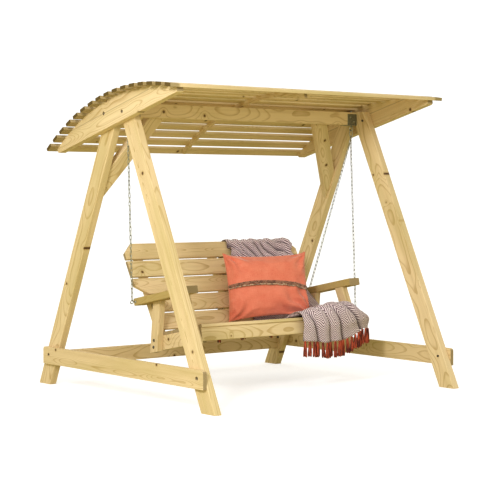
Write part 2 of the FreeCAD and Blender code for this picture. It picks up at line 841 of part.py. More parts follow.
def throw_section(point, outward, left, right, lifts):
    """A band across the bench, flat beneath and scalloped above into one fold for each given lift."""
    out = V(outward).normalize()
    low = [point + X * left, point + X * right]
    step = (right - left) / len(lifts)
    points = low[:]
    for k in range(len(lifts) - 1, -1, -1):
        near = low[0] + X * (k * step) + out * throw_thick
        crest = near + X * (step / 2) + out * lifts[k]
        points += bow(near + X * step, crest, near, throw_steps)
    return points + [low[0] + out * throw_thick]


def front_post_face(height, ahead):
    """A world point at X 0, level with the front faces of the front posts and some way ahead of them."""
    slope = radians(front_post_lean)
    y = post_middle(front_post_top, front_post_lean, height) - (post_width / 2 + ahead) / cos(slope)
    return seat_frame().multVec(V(0, y, height))


def throw_stations():
    """Where the throw bends: up behind the back, over its top, down its face, along the seat and over."""
    back, seat = back_frame(), seat_frame()
    up, ahead = seat.Rotation.multVec(Z), seat.Rotation.multVec(-Y)
    face, rise = back.Rotation.multVec(-Y), back.Rotation.multVec(Z)
    gap = throw_clear
    inside = half_seat - throw_side_clear
    flat = [throw_thick / 4] * 5
    rippled = [throw_fold, throw_fold / 2, throw_fold, throw_fold / 2, throw_fold]
    humped = flat[:3] + [throw_fold, throw_hump]
    behind = back.multVec(V(0, back_slat_thick + stile_depth + gap, back_height - stile_top_inset + gap))
    crease = back_line(0) - gap * (1 + tan(radians(back_recline))) / cos(radians(back_recline))
    nose = seat.multVec(V(0, -seat_nose - gap, gap))
    toe = front_post_face(-seat_slat_thick - seat_rail_height - front_post_drop, throw_side_clear)
    hem = V(0, toe.y, nose.z - throw_front_drop)
    at_post = front_post_face(gap, throw_side_clear)
    return [
        (behind - Z * throw_rear_drop, Y, throw_back_left, throw_back_right, rippled),
        (behind, Y + rise, throw_back_left, throw_back_right, rippled),
        (back.multVec(V(0, back_slat_thick + gap, back_height + gap)), rise - face, throw_back_left,
         throw_back_right, flat),
        (back.multVec(V(0, -gap, back_height + gap)), face + rise, throw_back_left, throw_back_right, flat),
        (back.multVec(V(0, -gap, arm_underside + 2 * arm_thick)), face, throw_back_left, inside, flat),
        (seat.multVec(V(0, crease, gap)), face + up, throw_back_left, inside, flat),
        (seat.multVec(V(0, seat_depth / 2, gap)), up, throw_back_left, inside, humped),
        (at_post, up, throw_front_left, inside, humped),
        (nose, up + ahead, throw_front_left, throw_front_right, rippled),
        (hem, -Y, throw_front_left, throw_front_right, rippled),
    ]


def throw():
    return skinned([throw_section(*station) for station in throw_stations()])


def fringe():
    """The knotted ends, one band of tassels below each woven edge."""
    stations = throw_stations()
    bands = []
    for point, out, left, right, lifts in (stations[0], stations[-1]):
        ends = [throw_section(point - Z * drop, out, left, right, lifts) for drop in (throw_clear, fringe_length)]
        bands.append(skinned(ends))
    return bands


def save(name, solids):
    shape = solids[0] if len(solids) == 1 else Part.makeCompound(solids)
    shape.exportStep("parts/" + name + ".step")


def build_stand():
    bolt_points = stretcher_bolt_points()
    rib_points = rib_bolt_points()
    for name, side in SIDES:
        front = leg(side, False)
        rear = leg(side, True)
        save("leg_front_" + name, [drilled(front, side, [p for p in bolt_points + rib_points if p[0] < 0])])
        save("leg_rear_" + name, [drilled(rear, side, [p for p in bolt_points + rib_points if p[0] > 0])])
        save("side_stretcher_" + name, [side_stretcher(side)])
        save("knee_brace_" + name, [knee_brace(side)])
        lower, upper = rib_parts(side)
        save("rib_board_" + name, [lower])
        save("rib_arch_" + name, [upper])
        save("beam_shoe_" + name, [beam_shoe(side)])
        save("beam_eye_" + name, [beam_eye(side)])
    save("ridge_beam", [ridge_beam()])
    save("rear_stretcher", [rear_stretcher()])
    save("middle_rib", [middle_rib()])
    slats = roof_slats()
    third = round(len(slats) / 3)
    save("roof_slats_rear", slats[:third])
    save("roof_slats_middle", slats[third:-third])
    save("roof_slats_front", slats[-third:])
    face = half_frame + side_stretcher_thick
    save("stretcher_bolts", [frame_bolt(y, z, face, s) for _, s in SIDES for y, z in bolt_points])
    save("rib_bolts", [frame_bolt(y, z, rib_outer, s) for _, s in SIDES for y, z in rib_points])
    save("shoe_screws", shoe_screws())


def build_bench():
    save("seat_apron", [seat_apron()])
    save("seat_rail_middle", [middle_rail()])
    save("seat_rear_rail", [rear_rail()])
    bolts = bench_bolts()
    drills = [eye_hole(where, side) for where in ("front", "rear") for _, side in SIDES]
    for k, slat in enumerate(seat_slats()):
        save("seat_slat_%d" % (k + 1), [slat])
    for k, slat in enumerate(back_slats()):
        save("back_slat_%d" % (k + 1), [slat])
    save("back_stile_middle", [back_stile(0)])
    for name, side in SIDES:
        save("seat_rail_" + name, [side_rail(side).cut(bolts)])
        save("back_stile_" + name, [back_stile(side * (stile_outer - stile_width / 2)).cut(bolts)])
        save("arm_" + name, [arm(side).cut(drills)])
        front = post(side, front_post_top, front_post_lean, front_post_drop)
        rear = post(side, rear_post_top, rear_post_lean, rear_post_drop)
        save("post_front_" + name, [front.cut(drills + bolts)])
        save("post_rear_" + name, [rear.cut(bolts)])
        save("quick_link_" + name, [quick_link(side)])
        for where in ("front", "rear"):
            save("chain_%s_%s" % (where, name), chain(where, side))
    save("bench_eyes", [bench_eye(where, side) for where in ("front", "rear") for _, side in SIDES])
    save("bench_bolts", bolts)
    cover = throw()
    save("throw", [cover])
    save("cushion", [cushion(cover)])
    save("throw_fringe", fringe())


os.makedirs("parts", exist_ok=True)
build_stand()
build_bench()
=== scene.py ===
"""Looks of a garden swing seat: pine boards, zinc chains, a coral cushion and a fringed throw.

Everything is in metres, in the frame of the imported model: +X along the seat, +Y to the rear, +Z up.
"""
import json
import math
import random
from functools import partialmethod

import bpy
import numpy as np
from bpy.props import FloatProperty, FloatVectorProperty, IntProperty, PointerProperty
from mathutils import Euler, Matrix, Vector, noise
from mathutils.bvhtree import BVHTree


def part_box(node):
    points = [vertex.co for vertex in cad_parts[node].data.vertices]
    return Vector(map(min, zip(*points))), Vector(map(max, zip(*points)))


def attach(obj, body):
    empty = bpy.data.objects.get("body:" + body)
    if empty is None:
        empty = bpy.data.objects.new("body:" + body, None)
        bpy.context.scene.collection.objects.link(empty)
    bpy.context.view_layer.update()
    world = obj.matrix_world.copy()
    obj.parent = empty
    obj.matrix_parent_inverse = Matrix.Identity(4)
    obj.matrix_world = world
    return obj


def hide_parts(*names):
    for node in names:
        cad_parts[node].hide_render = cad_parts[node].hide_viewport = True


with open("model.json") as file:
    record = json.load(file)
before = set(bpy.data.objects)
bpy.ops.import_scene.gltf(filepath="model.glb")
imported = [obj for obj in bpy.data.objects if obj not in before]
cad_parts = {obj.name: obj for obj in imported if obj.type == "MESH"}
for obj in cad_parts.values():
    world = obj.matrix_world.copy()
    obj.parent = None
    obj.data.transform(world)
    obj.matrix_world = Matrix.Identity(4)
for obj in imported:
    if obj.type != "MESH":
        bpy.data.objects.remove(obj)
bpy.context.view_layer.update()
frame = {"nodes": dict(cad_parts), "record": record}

bl_info = {
    "name": "Garden Swing Seat",
    "version": (1, 0, 0),
    "blender": (4, 5, 0),
    "location": "View3D > Sidebar > Swing Seat",
    "description": "Dresses a garden swing seat with timber, chains, a cushion and a throw",
    "category": "Object",
}

SIDES = ("left", "right")
X, Y, Z = Vector((1, 0, 0)), Vector((0, 1, 0)), Vector((0, 0, 1))


def srgb(red, green, blue):
    """A linear colour from 8-bit screen values."""
    return tuple(c / 12.92 if c <= 0.04045 else ((c + 0.055) / 1.055) ** 2.4
                 for c in (red / 255, green / 255, blue / 255))


def colour(name, description, red, green, blue):
    return FloatVectorProperty(name=name, description=description, default=srgb(red, green, blue),
                               subtype="COLOR", size=3, min=0, max=1)


def length(name, description, metres):
    return FloatProperty(name=name, description=description, default=metres, min=0,
                         subtype="DISTANCE", unit="LENGTH")


def angle(name, description, degrees):
    return FloatProperty(name=name, description=description, default=math.radians(degrees),
                         subtype="ANGLE", unit="ROTATION")


def strength(name, description, default, unit="NONE"):
    return FloatProperty(name=name, description=description, default=default, min=0, unit=unit)


def between(first, second, share):
    """A colour on the way from one to another."""
    return tuple(a + (b - a) * share for a, b in zip(first, second))


def dimmed(shade, by):
    return tuple(by * c for c in shade)


def ramp(value, low, high):
    """0 up to the low edge, 1 from the high one, and straight between; swapped edges turn it round."""
    return max(0.0, min(1.0, (value - low) / (high - low)))


def eased(t):
    """A share from 0 to 1 with a gentle start and end."""
    return t * t * (3 - 2 * t)


class SwingTimber(bpy.types.PropertyGroup):
    early: colour("Early wood", "Pale wood between the rings", 236, 213, 176)
    late: colour("Late wood", "Darker wood of the rings", 170, 137, 80)
    knot: colour("Knot", "Colour at the heart of a knot", 84, 52, 26)
    # The End colour is also the colour of the painted shade on the slat overhangs and the arch seams.
    end: colour("End grain", "Colour of the sawn ends", 100, 84, 36)
    tint: colour("Treatment tint", "Greenish cast that the preservative leaves", 176, 162, 92)
    ring: length("Ring pitch", "Width of one year's growth", 0.0058)


class SwingMetal(bpy.types.PropertyGroup):
    zinc: colour("Zinc", "Plated chain and eyes", 216, 218, 218)
    dull: colour("Dull zinc", "Clouded patches in the plating", 136, 138, 138)
    shoe: colour("Shoe", "Galvanised sheet of the beam shoes", 150, 156, 146)
    bolt: colour("Bolt", "Bolts sunk into the timber", 92, 84, 72)
    bar: length("Link bar", "Thickness of the chain's bar", 0.0038)


class SwingCushion(bpy.types.PropertyGroup):
    turn: angle("Turn", "How far the cushion is turned on the seat", -22)
    lean: angle("Lean", "How far the cushion leans back", -17)
    roll: angle("Roll", "How far the cushion is tipped sideways", -0.6)
    cloth: colour("Cover", "Woven cotton cover", 226, 138, 114)
    shade: colour("Cover in the weave", "Threads that lie deeper", 208, 104, 80)
    braid: colour("Braid", "Braid along the flap", 150, 112, 92)
    bobble: colour("Bobble", "Small knots under the braid", 176, 150, 128)
    weave: length("Weave pitch", "Distance between threads", 0.0016)


class SwingThrow(bpy.types.PropertyGroup):
    pale: colour("Pale yarn", "Cream yarn of the weave", 244, 227, 231)
    dark: colour("Dark yarn", "Purple-brown yarn of the weave", 96, 66, 84)
    fringe: colour("Fringe", "Rust red tassels", 204, 90, 54)
    fringe_shade: colour("Fringe in shade", "Yarns that lie deeper", 92, 22, 14)
    column: length("Column", "Width of one herringbone column", 0.030)
    pitch: length("Stripe pitch", "Height of one herringbone stripe", 0.0110)
    tassel: length("Tassel length", "From the woven edge to the tips", 0.112)
    tassels: IntProperty(name="Tassels", description="How many tassels each end has", default=22, min=4)


class SwingStage(bpy.types.PropertyGroup):
    floor: colour("Floor", "Plain pale floor", 222, 222, 232)
    glow: strength("Floor glow", "Light that the floor gives off by itself", 0.46)
    surround: strength("Surround", "Strength of the light from all sides", 0.69)
    key: strength("Key", "Power of the high light on the left", 150, "POWER")
    fill: strength("Fill", "Power of the soft light in front", 60, "POWER")
    place: FloatVectorProperty(name="Camera place", description="Where the camera stands",
                               default=(-5.8777, -7.4943, 1.2158), subtype="TRANSLATION", unit="LENGTH")
    turn: FloatVectorProperty(name="Camera turn", description="How the camera is turned",
                              default=(math.radians(87.831), 0, math.radians(-38.257)), subtype="EULER")
    lens: FloatProperty(name="Lens", description="Focal length on a 36 mm sensor", default=109.03,
                        unit="CAMERA", min=1)


class Graph:
    """Adds shader nodes to a tree and joins them."""

    def __init__(self, tree):
        self.tree = tree
        self.column = 0

    def put(self, socket, value):
        """Links a socket to this one or sets its value; a colour gets its alpha and None changes nothing."""
        if isinstance(value, bpy.types.NodeSocket):
            self.tree.links.new(value, socket)
        elif value is not None:
            socket.default_value = (*value[:3], 1.0) if socket.type == "RGBA" else value

    def add(self, kind, *values, **settings):
        """A node whose settings are set and whose inputs take the values in order; None leaves one alone."""
        node = self.tree.nodes.new(kind if kind.startswith("Node") else "ShaderNode" + kind)
        node.location = (self.column, -40 * (self.column // 180 % 7))
        self.column += 180
        for name, value in settings.items():
            setattr(node, name, value)
        for socket, value in zip(node.inputs, values):
            self.put(socket, value)
        return node

    def calc(self, operation, *values, clamp=False):
        return self.add("Math", *values, operation=operation, use_clamp=clamp).outputs[0]

    plus = partialmethod(calc, "ADD")
    minus = partialmethod(calc, "SUBTRACT")
    times = partialmethod(calc, "MULTIPLY")
    over = partialmethod(calc, "DIVIDE")
    fused = partialmethod(calc, "MULTIPLY_ADD")

    def vector(self, operation, *values):
        node = self.add("VectorMath", *values, operation=operation)
        return node.outputs[1 if operation in ("LENGTH", "DISTANCE", "DOT_PRODUCT") else 0]

    def scaled(self, vector, x, y, z):
        return self.vector("MULTIPLY", vector, (x, y, z))

    def smooth(self, value, low, high):
        """0 below the low edge, 1 above the high one, and smooth between; swapped edges turn it round."""
        ends = (1.0, 0.0) if low > high else (0.0, 1.0)
        low, high = min(low, high), max(low, high)
        return self.add("MapRange", value, low, high, *ends, interpolation_type="SMOOTHSTEP").outputs[0]

    def noise(self, vector, scale, detail=2.0, roughness=0.5):
        return self.add("TexNoise", vector, None, scale, detail, roughness).outputs[0]

    def mix(self, share, first, second):
        """A colour between two others; 0, 6, 7 and 2 are the places of the node's colour sockets."""
        node = self.add("Mix", data_type="RGBA")
        for k, value in ((0, share), (6, first), (7, second)):
            self.put(node.inputs[k], value)
        return node.outputs[2]

    def split(self, vector):
        return self.add("SeparateXYZ", vector).outputs

    def dress(self, shade, height, rough=None):
        """Joins a colour, a height and, where given, a roughness to the material's shader and bump."""
        self.put(self.shader.inputs["Base Color"], shade)
        self.put(self.relief.inputs["Height"], height)
        self.put(self.shader.inputs["Roughness"], rough)


def group(name, inputs, outputs, fill):
    """A shader node group with the named sockets, filled by a function once."""
    tree = bpy.data.node_groups.new(name, "ShaderNodeTree")
    kinds = {"v": "NodeSocketVector", "f": "NodeSocketFloat", "c": "NodeSocketColor"}
    for way, sockets in (("INPUT", inputs), ("OUTPUT", outputs)):
        for label, kind in sockets.items():
            tree.interface.new_socket(label, in_out=way, socket_type=kinds[kind])
    g = Graph(tree)
    made = fill(g, g.add("NodeGroupInput").outputs)
    out = g.add("NodeGroupOutput")
    for label, value in made.items():
        g.put(out.inputs[label], value)
    return tree


def pine_grain(g, given):
    """Growth rings, fibres and knots of a flat-sawn board that runs along the local X axis."""
    heart_below, slope, wander = 0.055, 0.016, 0.075
    cells_along, cells_across = 2.6, 9.0
    knot_least, knot_more, swell_reach, swell_high = 0.0035, 0.007, -0.022, 0.02
    where = given["Vector"]
    x, y, z = g.split(where)
    # One knot to a cell, where chance allows it.
    flat = g.add("CombineXYZ", x, y).outputs[0]
    cells = g.add("TexVoronoi", g.scaled(flat, cells_along, cells_across, 0), voronoi_dimensions="2D")
    cells.inputs["Scale"].default_value = 1.0
    at = g.scaled(cells.outputs["Position"], 1 / cells_along, 1 / cells_across, 0)
    away = g.vector("LENGTH", g.vector("SUBTRACT", flat, at))
    chance, size, _ = g.split(cells.outputs["Color"])
    present = g.smooth(g.minus(chance, g.minus(1.0, given["Knots"])), -0.01, 0.01)
    past = g.minus(away, g.fused(size, knot_more, knot_least))
    core = g.times(g.smooth(past, 0.0012, -0.0016), present)
    rim = g.times(g.smooth(past, 0.011, 0.0), present)
    # Rings about a heart that lies below the board and wanders; they swell round the knots.
    drift = g.times(g.minus(g.noise(g.scaled(where, 2.0, 2.5, 2.5), 1.0, 1.0), 0.5), wander)
    swell = g.times(g.times(g.calc("EXPONENT", g.over(away, swell_reach)), present), swell_high)
    side = g.plus(y, g.times(drift, 0.5))
    depth = g.plus(g.plus(z, heart_below), g.fused(x, slope, drift))
    across = g.plus(g.calc("SQRT", g.plus(g.times(side, side), g.times(depth, depth))), swell)
    turn = g.calc("FRACT", g.over(across, given["Ring"]))
    late = g.times(g.smooth(turn, 0.62, 0.93), g.smooth(turn, 1.0, 0.95))
    fibre = g.noise(g.scaled(where, 5.0, 420.0, 420.0), 1.0, 3.0, 0.6)
    streak = g.noise(g.scaled(where, 1.1, 34.0, 34.0), 1.0, 3.0, 0.6)
    share = g.fused(late, 0.44, g.times(g.minus(streak, 0.42), 0.8))
    share = g.plus(share, g.times(g.minus(fibre, 0.5), 0.5), clamp=True)
    patch = g.smooth(g.noise(g.scaled(where, 1.6, 7.0, 7.0), 1.0, 3.0), 0.40, 0.72)
    sawn = g.mix(g.fused(late, 0.35, g.times(fibre, 0.5)), given["End"], given["Knot"])
    wood = g.mix(share, given["Early"], given["Late"])
    # Painted shade on the slat overhangs and along the arch seams is mixed in toward the End colour.
    for mask, weight, laid in ((patch, 0.34, given["Tint"]), (given["Tone"], 0.5, given["Late"]),
                               (rim, 0.45, given["Late"]), (core, 0.88, given["Knot"]),
                               (given["Painted shade"], 0.55, given["End"]), (given["Sawn"], 0.94, sawn)):
        wood = g.mix(g.times(mask, weight), wood, laid)
    rough = g.minus(g.fused(fibre, 0.14, 0.58), g.times(core, 0.12))
    height = g.plus(g.fused(late, 0.25, g.times(fibre, 0.5)), g.times(core, 0.3))
    return {"Color": wood, "Roughness": rough, "Height": height}


def zinc_bloom(g, given):
    """Clouded plating with fine scratches."""
    cloud = g.noise(given["Vector"], 90.0, 4.0, 0.6)
    fleck = g.noise(given["Vector"], 900.0, 2.0, 0.5)
    share = g.fused(g.minus(fleck, 0.5), 0.5, g.smooth(cloud, 0.36, 0.68), clamp=True)
    shade = g.mix(share, given["Bright"], given["Dull"])
    rough = g.fused(share, 0.22, given["Roughness"])
    return {"Color": shade, "Roughness": rough, "Height": g.fused(cloud, 0.6, fleck)}


def plain_weave(g, given):
    """Over-and-under threads at a pitch, with slubs that thicken some of them."""
    x, y, _ = g.split(given["Vector"])
    k = g.over(math.pi, given["Pitch"])
    a = g.calc("SINE", g.times(x, k))
    b = g.calc("SINE", g.times(y, k))
    thread = g.fused(g.times(a, b), 0.5, 0.5)
    slub = g.noise(g.scaled(given["Vector"], 30, 260, 0), 1.0, 2.0)
    slub = g.plus(slub, g.noise(g.scaled(given["Vector"], 260, 30, 0), 1.0, 2.0))
    shade = g.fused(g.minus(slub, 1.0), 0.8, g.times(thread, 0.5), clamp=True)
    return {"Thread": thread, "Shade": shade}


GROUPS = {
    "Pine grain": ({"Vector": "v", "Ring": "f", "Tone": "f", "Knots": "f", "Sawn": "f", "Painted shade": "f",
                    "Early": "c", "Late": "c", "Knot": "c", "End": "c", "Tint": "c"},
                   {"Color": "c", "Roughness": "f", "Height": "f"}, pine_grain),
    "Zinc bloom": ({"Vector": "v", "Bright": "c", "Dull": "c", "Roughness": "f"},
                   {"Color": "c", "Roughness": "f", "Height": "f"}, zinc_bloom),
    "Plain weave": ({"Vector": "v", "Pitch": "f"}, {"Thread": "f", "Shade": "f"}, plain_weave),
}


def effect(g, name, values):
    """One of the shared groups, placed in a material with its own values."""
    tree = bpy.data.node_groups.get(name) or group(name, *GROUPS[name])
    node = g.add("Group", node_tree=tree)
    for label, value in values.items():
        g.put(node.inputs[label], value)
    return node.outputs


def new_material(name, bump=0.3, grain=0.001, **sockets):
    """A material with a shader and a bump of the given strength and depth, and its graph."""
    material = bpy.data.materials.new(name)
    material.use_nodes = True
    tree = material.node_tree
    tree.nodes.clear()
    g = Graph(tree)
    g.shader = g.add("BsdfPrincipled")
    g.shader.location = (1600, 300)
    g.add("OutputMaterial", g.shader.outputs[0]).location = (1900, 300)
    for label, value in sockets.items():
        g.shader.inputs[label.replace("_", " ")].default_value = value
    g.relief = g.add("Bump", bump, grain)
    g.relief.location = (1400, 0)
    g.put(g.shader.inputs["Normal"], g.relief.outputs[0])
    return material, g


def corners(node):
    """The solids of a CAD node, each as an array of its corner points."""
    mesh = frame["nodes"][node].data
    points = np.array([tuple(v.co) for v in mesh.vertices])
    keys, same = np.unique(np.round(points, 6), axis=0, return_inverse=True)
    same = same.ravel()
    parent = list(range(len(keys)))

    def root(k):
        while parent[k] != k:
            parent[k] = parent[parent[k]]
            k = parent[k]
        return k

    for face in mesh.polygons:
        first = root(same[face.vertices[0]])
        for v in face.vertices[1:]:
            parent[root(same[v])] = first
    solids = {}
    for k in range(len(keys)):
        solids.setdefault(root(k), []).append(keys[k])
    return [np.array(s) for s in solids.values()]


def axes(points):
    """Middle and the three main directions of a cloud of points, longest first."""
    mean = points.mean(0)
    _, _, ways = np.linalg.svd(points - mean, full_matrices=False)
    if np.linalg.det(ways) < 0:
        ways[2] *= -1
    local = (points - mean) @ ways.T
    return mean + (local.max(0) + local.min(0)) / 2 @ ways, ways, local.max(0) - local.min(0)


def keep(name, mesh, body, material, *nodes, slot=None, smooth=True):
    """Makes a mesh into a piece that rides on a body and stands for CAD nodes."""
    piece = bpy.data.objects.new(name, mesh)
    bpy.context.scene.collection.objects.link(piece)
    if material:
        mesh.materials.append(material)
    if smooth:
        mesh.shade_smooth()
    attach(piece, body)
    if nodes:
        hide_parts(*nodes)
    return piece


def mesh_from(name, points, faces):
    mesh = bpy.data.meshes.new(name)
    mesh.from_pydata([tuple(p) for p in points], [], faces)
    mesh.validate()
    mesh.update()
    return mesh


def circle(centre, across, up, radius, count):
    """Evenly spaced points round a circle in the plane of two directions."""
    return [centre + radius * (across * math.cos(t) + up * math.sin(t))
            for t in (2 * math.pi * k / count for k in range(count))]


class Parts:
    """Collects rings and turned shapes into one mesh."""

    def __init__(self):
        self.points, self.faces = [], []

    def loops(self, loops, closed):
        """Skins a run of like loops; a run that isn't closed gets its two ends filled."""
        start, n = len(self.points), len(loops[0])
        for loop in loops:
            self.points += [tuple(p) for p in loop]
        for k in range(len(loops) if closed else len(loops) - 1):
            one, two = start + k * n, start + (k + 1) % len(loops) * n
            for j in range(n):
                i = (j + 1) % n
                self.faces.append((one + j, one + i, two + i, two + j))
        if not closed:
            self.faces.append(tuple(range(start + n - 1, start - 1, -1)))
            self.faces.append(tuple(range(start + (len(loops) - 1) * n, start + len(loops) * n)))

    def tube(self, path, radius, sides, closed=False, up=Z):
        """A round bar along a path of points; the radius may be a list."""
        path = [Vector(p) for p in path]
        count = len(path)
        loops = []
        for k, here in enumerate(path):
            before = path[k - 1] if k or closed else here
            after = path[(k + 1) % count] if k < count - 1 or closed else here
            along = (after - before).normalized()
            side = along.cross(up)
            side = side.normalized() if side.length > 1e-4 else along.orthogonal().normalized()
            r = radius[k] if isinstance(radius, (list, tuple)) else radius
            loops.append(circle(here, side, side.cross(along), r, sides))
        self.loops(loops, closed)

    def turned(self, start, along, outline, sides=20):
        """A shape turned about a line: the outline gives distances along it and radii."""
        start, along = Vector(start), Vector(along).normalized()
        side = along.orthogonal().normalized()
        self.loops([circle(start + along * d, side, along.cross(side), r, sides) for d, r in outline], False)

    def piece(self, name, *rest, **more):
        """Keeps what was collected as one piece; the rest is as for keep."""
        return keep(name, mesh_from(name, self.points, self.faces), *rest, **more)


def stadium(middle, along, across, inner_length, inner_width, bar, steps=8):
    """Centre line of a long link with round ends."""
    r = (inner_width + bar) / 2
    straight = (inner_length + bar) / 2 - r
    turns = [math.pi * k / steps for k in range(steps + 1)]
    return [middle + along * (sign * (straight + r * math.sin(t))) + across * (sign * r * math.cos(t))
            for sign in (1, -1) for t in turns]


class SWING_OT_timber(bpy.types.Operator):
    """Give every board its own run of pine grain"""
    bl_idname = "swing.timber"
    bl_label = "Timber"

    # How far from the middle the roof slats leave the ribs and how soft the edge of the painted shade on
    # their overhanging ends is, how dark the painted shadow along the seam under the arches is and where it
    # fades, and how much darker the weathered arms are.
    rib_outside, rib_edge = 0.992, 0.012
    seam, seam_edge = 1.6, (0.0075, 0.0025)
    weathering = 0.55

    def execute(self, context):
        s = context.scene.swing_timber
        slots = {p["node"]: p["material_slot"] for p in frame["record"]["subparts"]}
        for k, (name, node) in enumerate(sorted(frame["nodes"].items())):
            if slots[name] not in ("pine", "arm_pine"):
                continue
            solids = corners(name)
            middle, ways, _ = axes(max(solids, key=lambda p: np.ptp(p, axis=0).max()))
            if name.startswith("roof_slats"):
                ways = np.eye(3)
            self.board(node, name, k, middle, ways, slots[name] == "arm_pine", s)
        return {"FINISHED"}

    def board(self, node, name, k, middle, ways, weathered, s):
        """A material whose grain follows the board's own length, width and thickness."""
        chance = random.Random(k * 7 + 3)
        material, g = new_material("pine_" + name, bump=0.35, grain=0.0006, Specular_IOR_Level=0.3)
        there = g.add("TexCoord").outputs
        local = g.add("Mapping", there["Object"], vector_type="TEXTURE")
        local.inputs["Location"].default_value = tuple(middle)
        local.inputs["Rotation"].default_value = Matrix([list(w) for w in ways]).transposed().to_euler()
        shift = (chance.uniform(-9, 9), chance.uniform(-0.03, 0.03), chance.uniform(-0.01, 0.09))
        moved = g.vector("ADD", local.outputs[0], shift)
        sawn = g.calc("ABSOLUTE", g.vector("DOT_PRODUCT", there["Normal"], tuple(ways[0])))
        tone = chance.uniform(0.05, 0.40) + (self.weathering if weathered else 0)
        made = effect(g, "Pine grain", {
            "Vector": moved, "Ring": s.ring * chance.uniform(0.8, 1.25), "Tone": tone,
            "Knots": chance.uniform(0.35, 0.6), "Sawn": g.smooth(sawn, 0.6, 0.85),
            # Painted shade where the slats overhang the ribs and along the arch seams.
            "Painted shade": self.painted_shade(g, name, local.outputs[0], there["Object"]),
            "Early": between(s.early, s.tint, 0.6) if weathered else s.early, "Late": s.late, "Knot": s.knot,
            "End": s.end if name.startswith("roof_slats") else between(s.end, s.early, 0.5), "Tint": s.tint})
        g.dress(made["Color"], made["Height"], made["Roughness"])
        node.data.materials.clear()
        node.data.materials.append(material)

    def painted_shade(self, g, name, local, place):
        """Painted shade on a board: the outer ends of a roof slat, where they overhang the ribs, and a
        painted shadow line along the seam under an arch.
        """
        if name.startswith("roof_slats"):
            # Painted shade on the slat ends that overhang the ribs.
            out = g.calc("ABSOLUTE", g.split(local)[0])
            return g.smooth(out, self.rib_outside - self.rib_edge, self.rib_outside + self.rib_edge)
        if name.startswith("rib_arch"):
            # A painted shadow line along the seam where the arch sits on the rib board.
            points = np.concatenate(corners(name))
            front, rear = points[points[:, 1].argmin()], points[points[:, 1].argmax()]
            up = np.array((0, front[2] - rear[2], rear[1] - front[1]))
            up /= np.linalg.norm(up)
            above = g.minus(g.vector("DOT_PRODUCT", place, tuple(up)), float(front @ up))
            return g.times(g.smooth(above, *self.seam_edge), self.seam)
        return 0.0


def metal(name, bright, dull, roughness, bump=0.12):
    material, g = new_material(name, bump=bump, grain=0.0004, Metallic=1.0)
    made = effect(g, "Zinc bloom", {"Vector": g.add("TexCoord").outputs["Object"], "Bright": bright,
                                    "Dull": dull, "Roughness": roughness})
    g.dress(made["Color"], made["Height"], made["Roughness"])
    return material


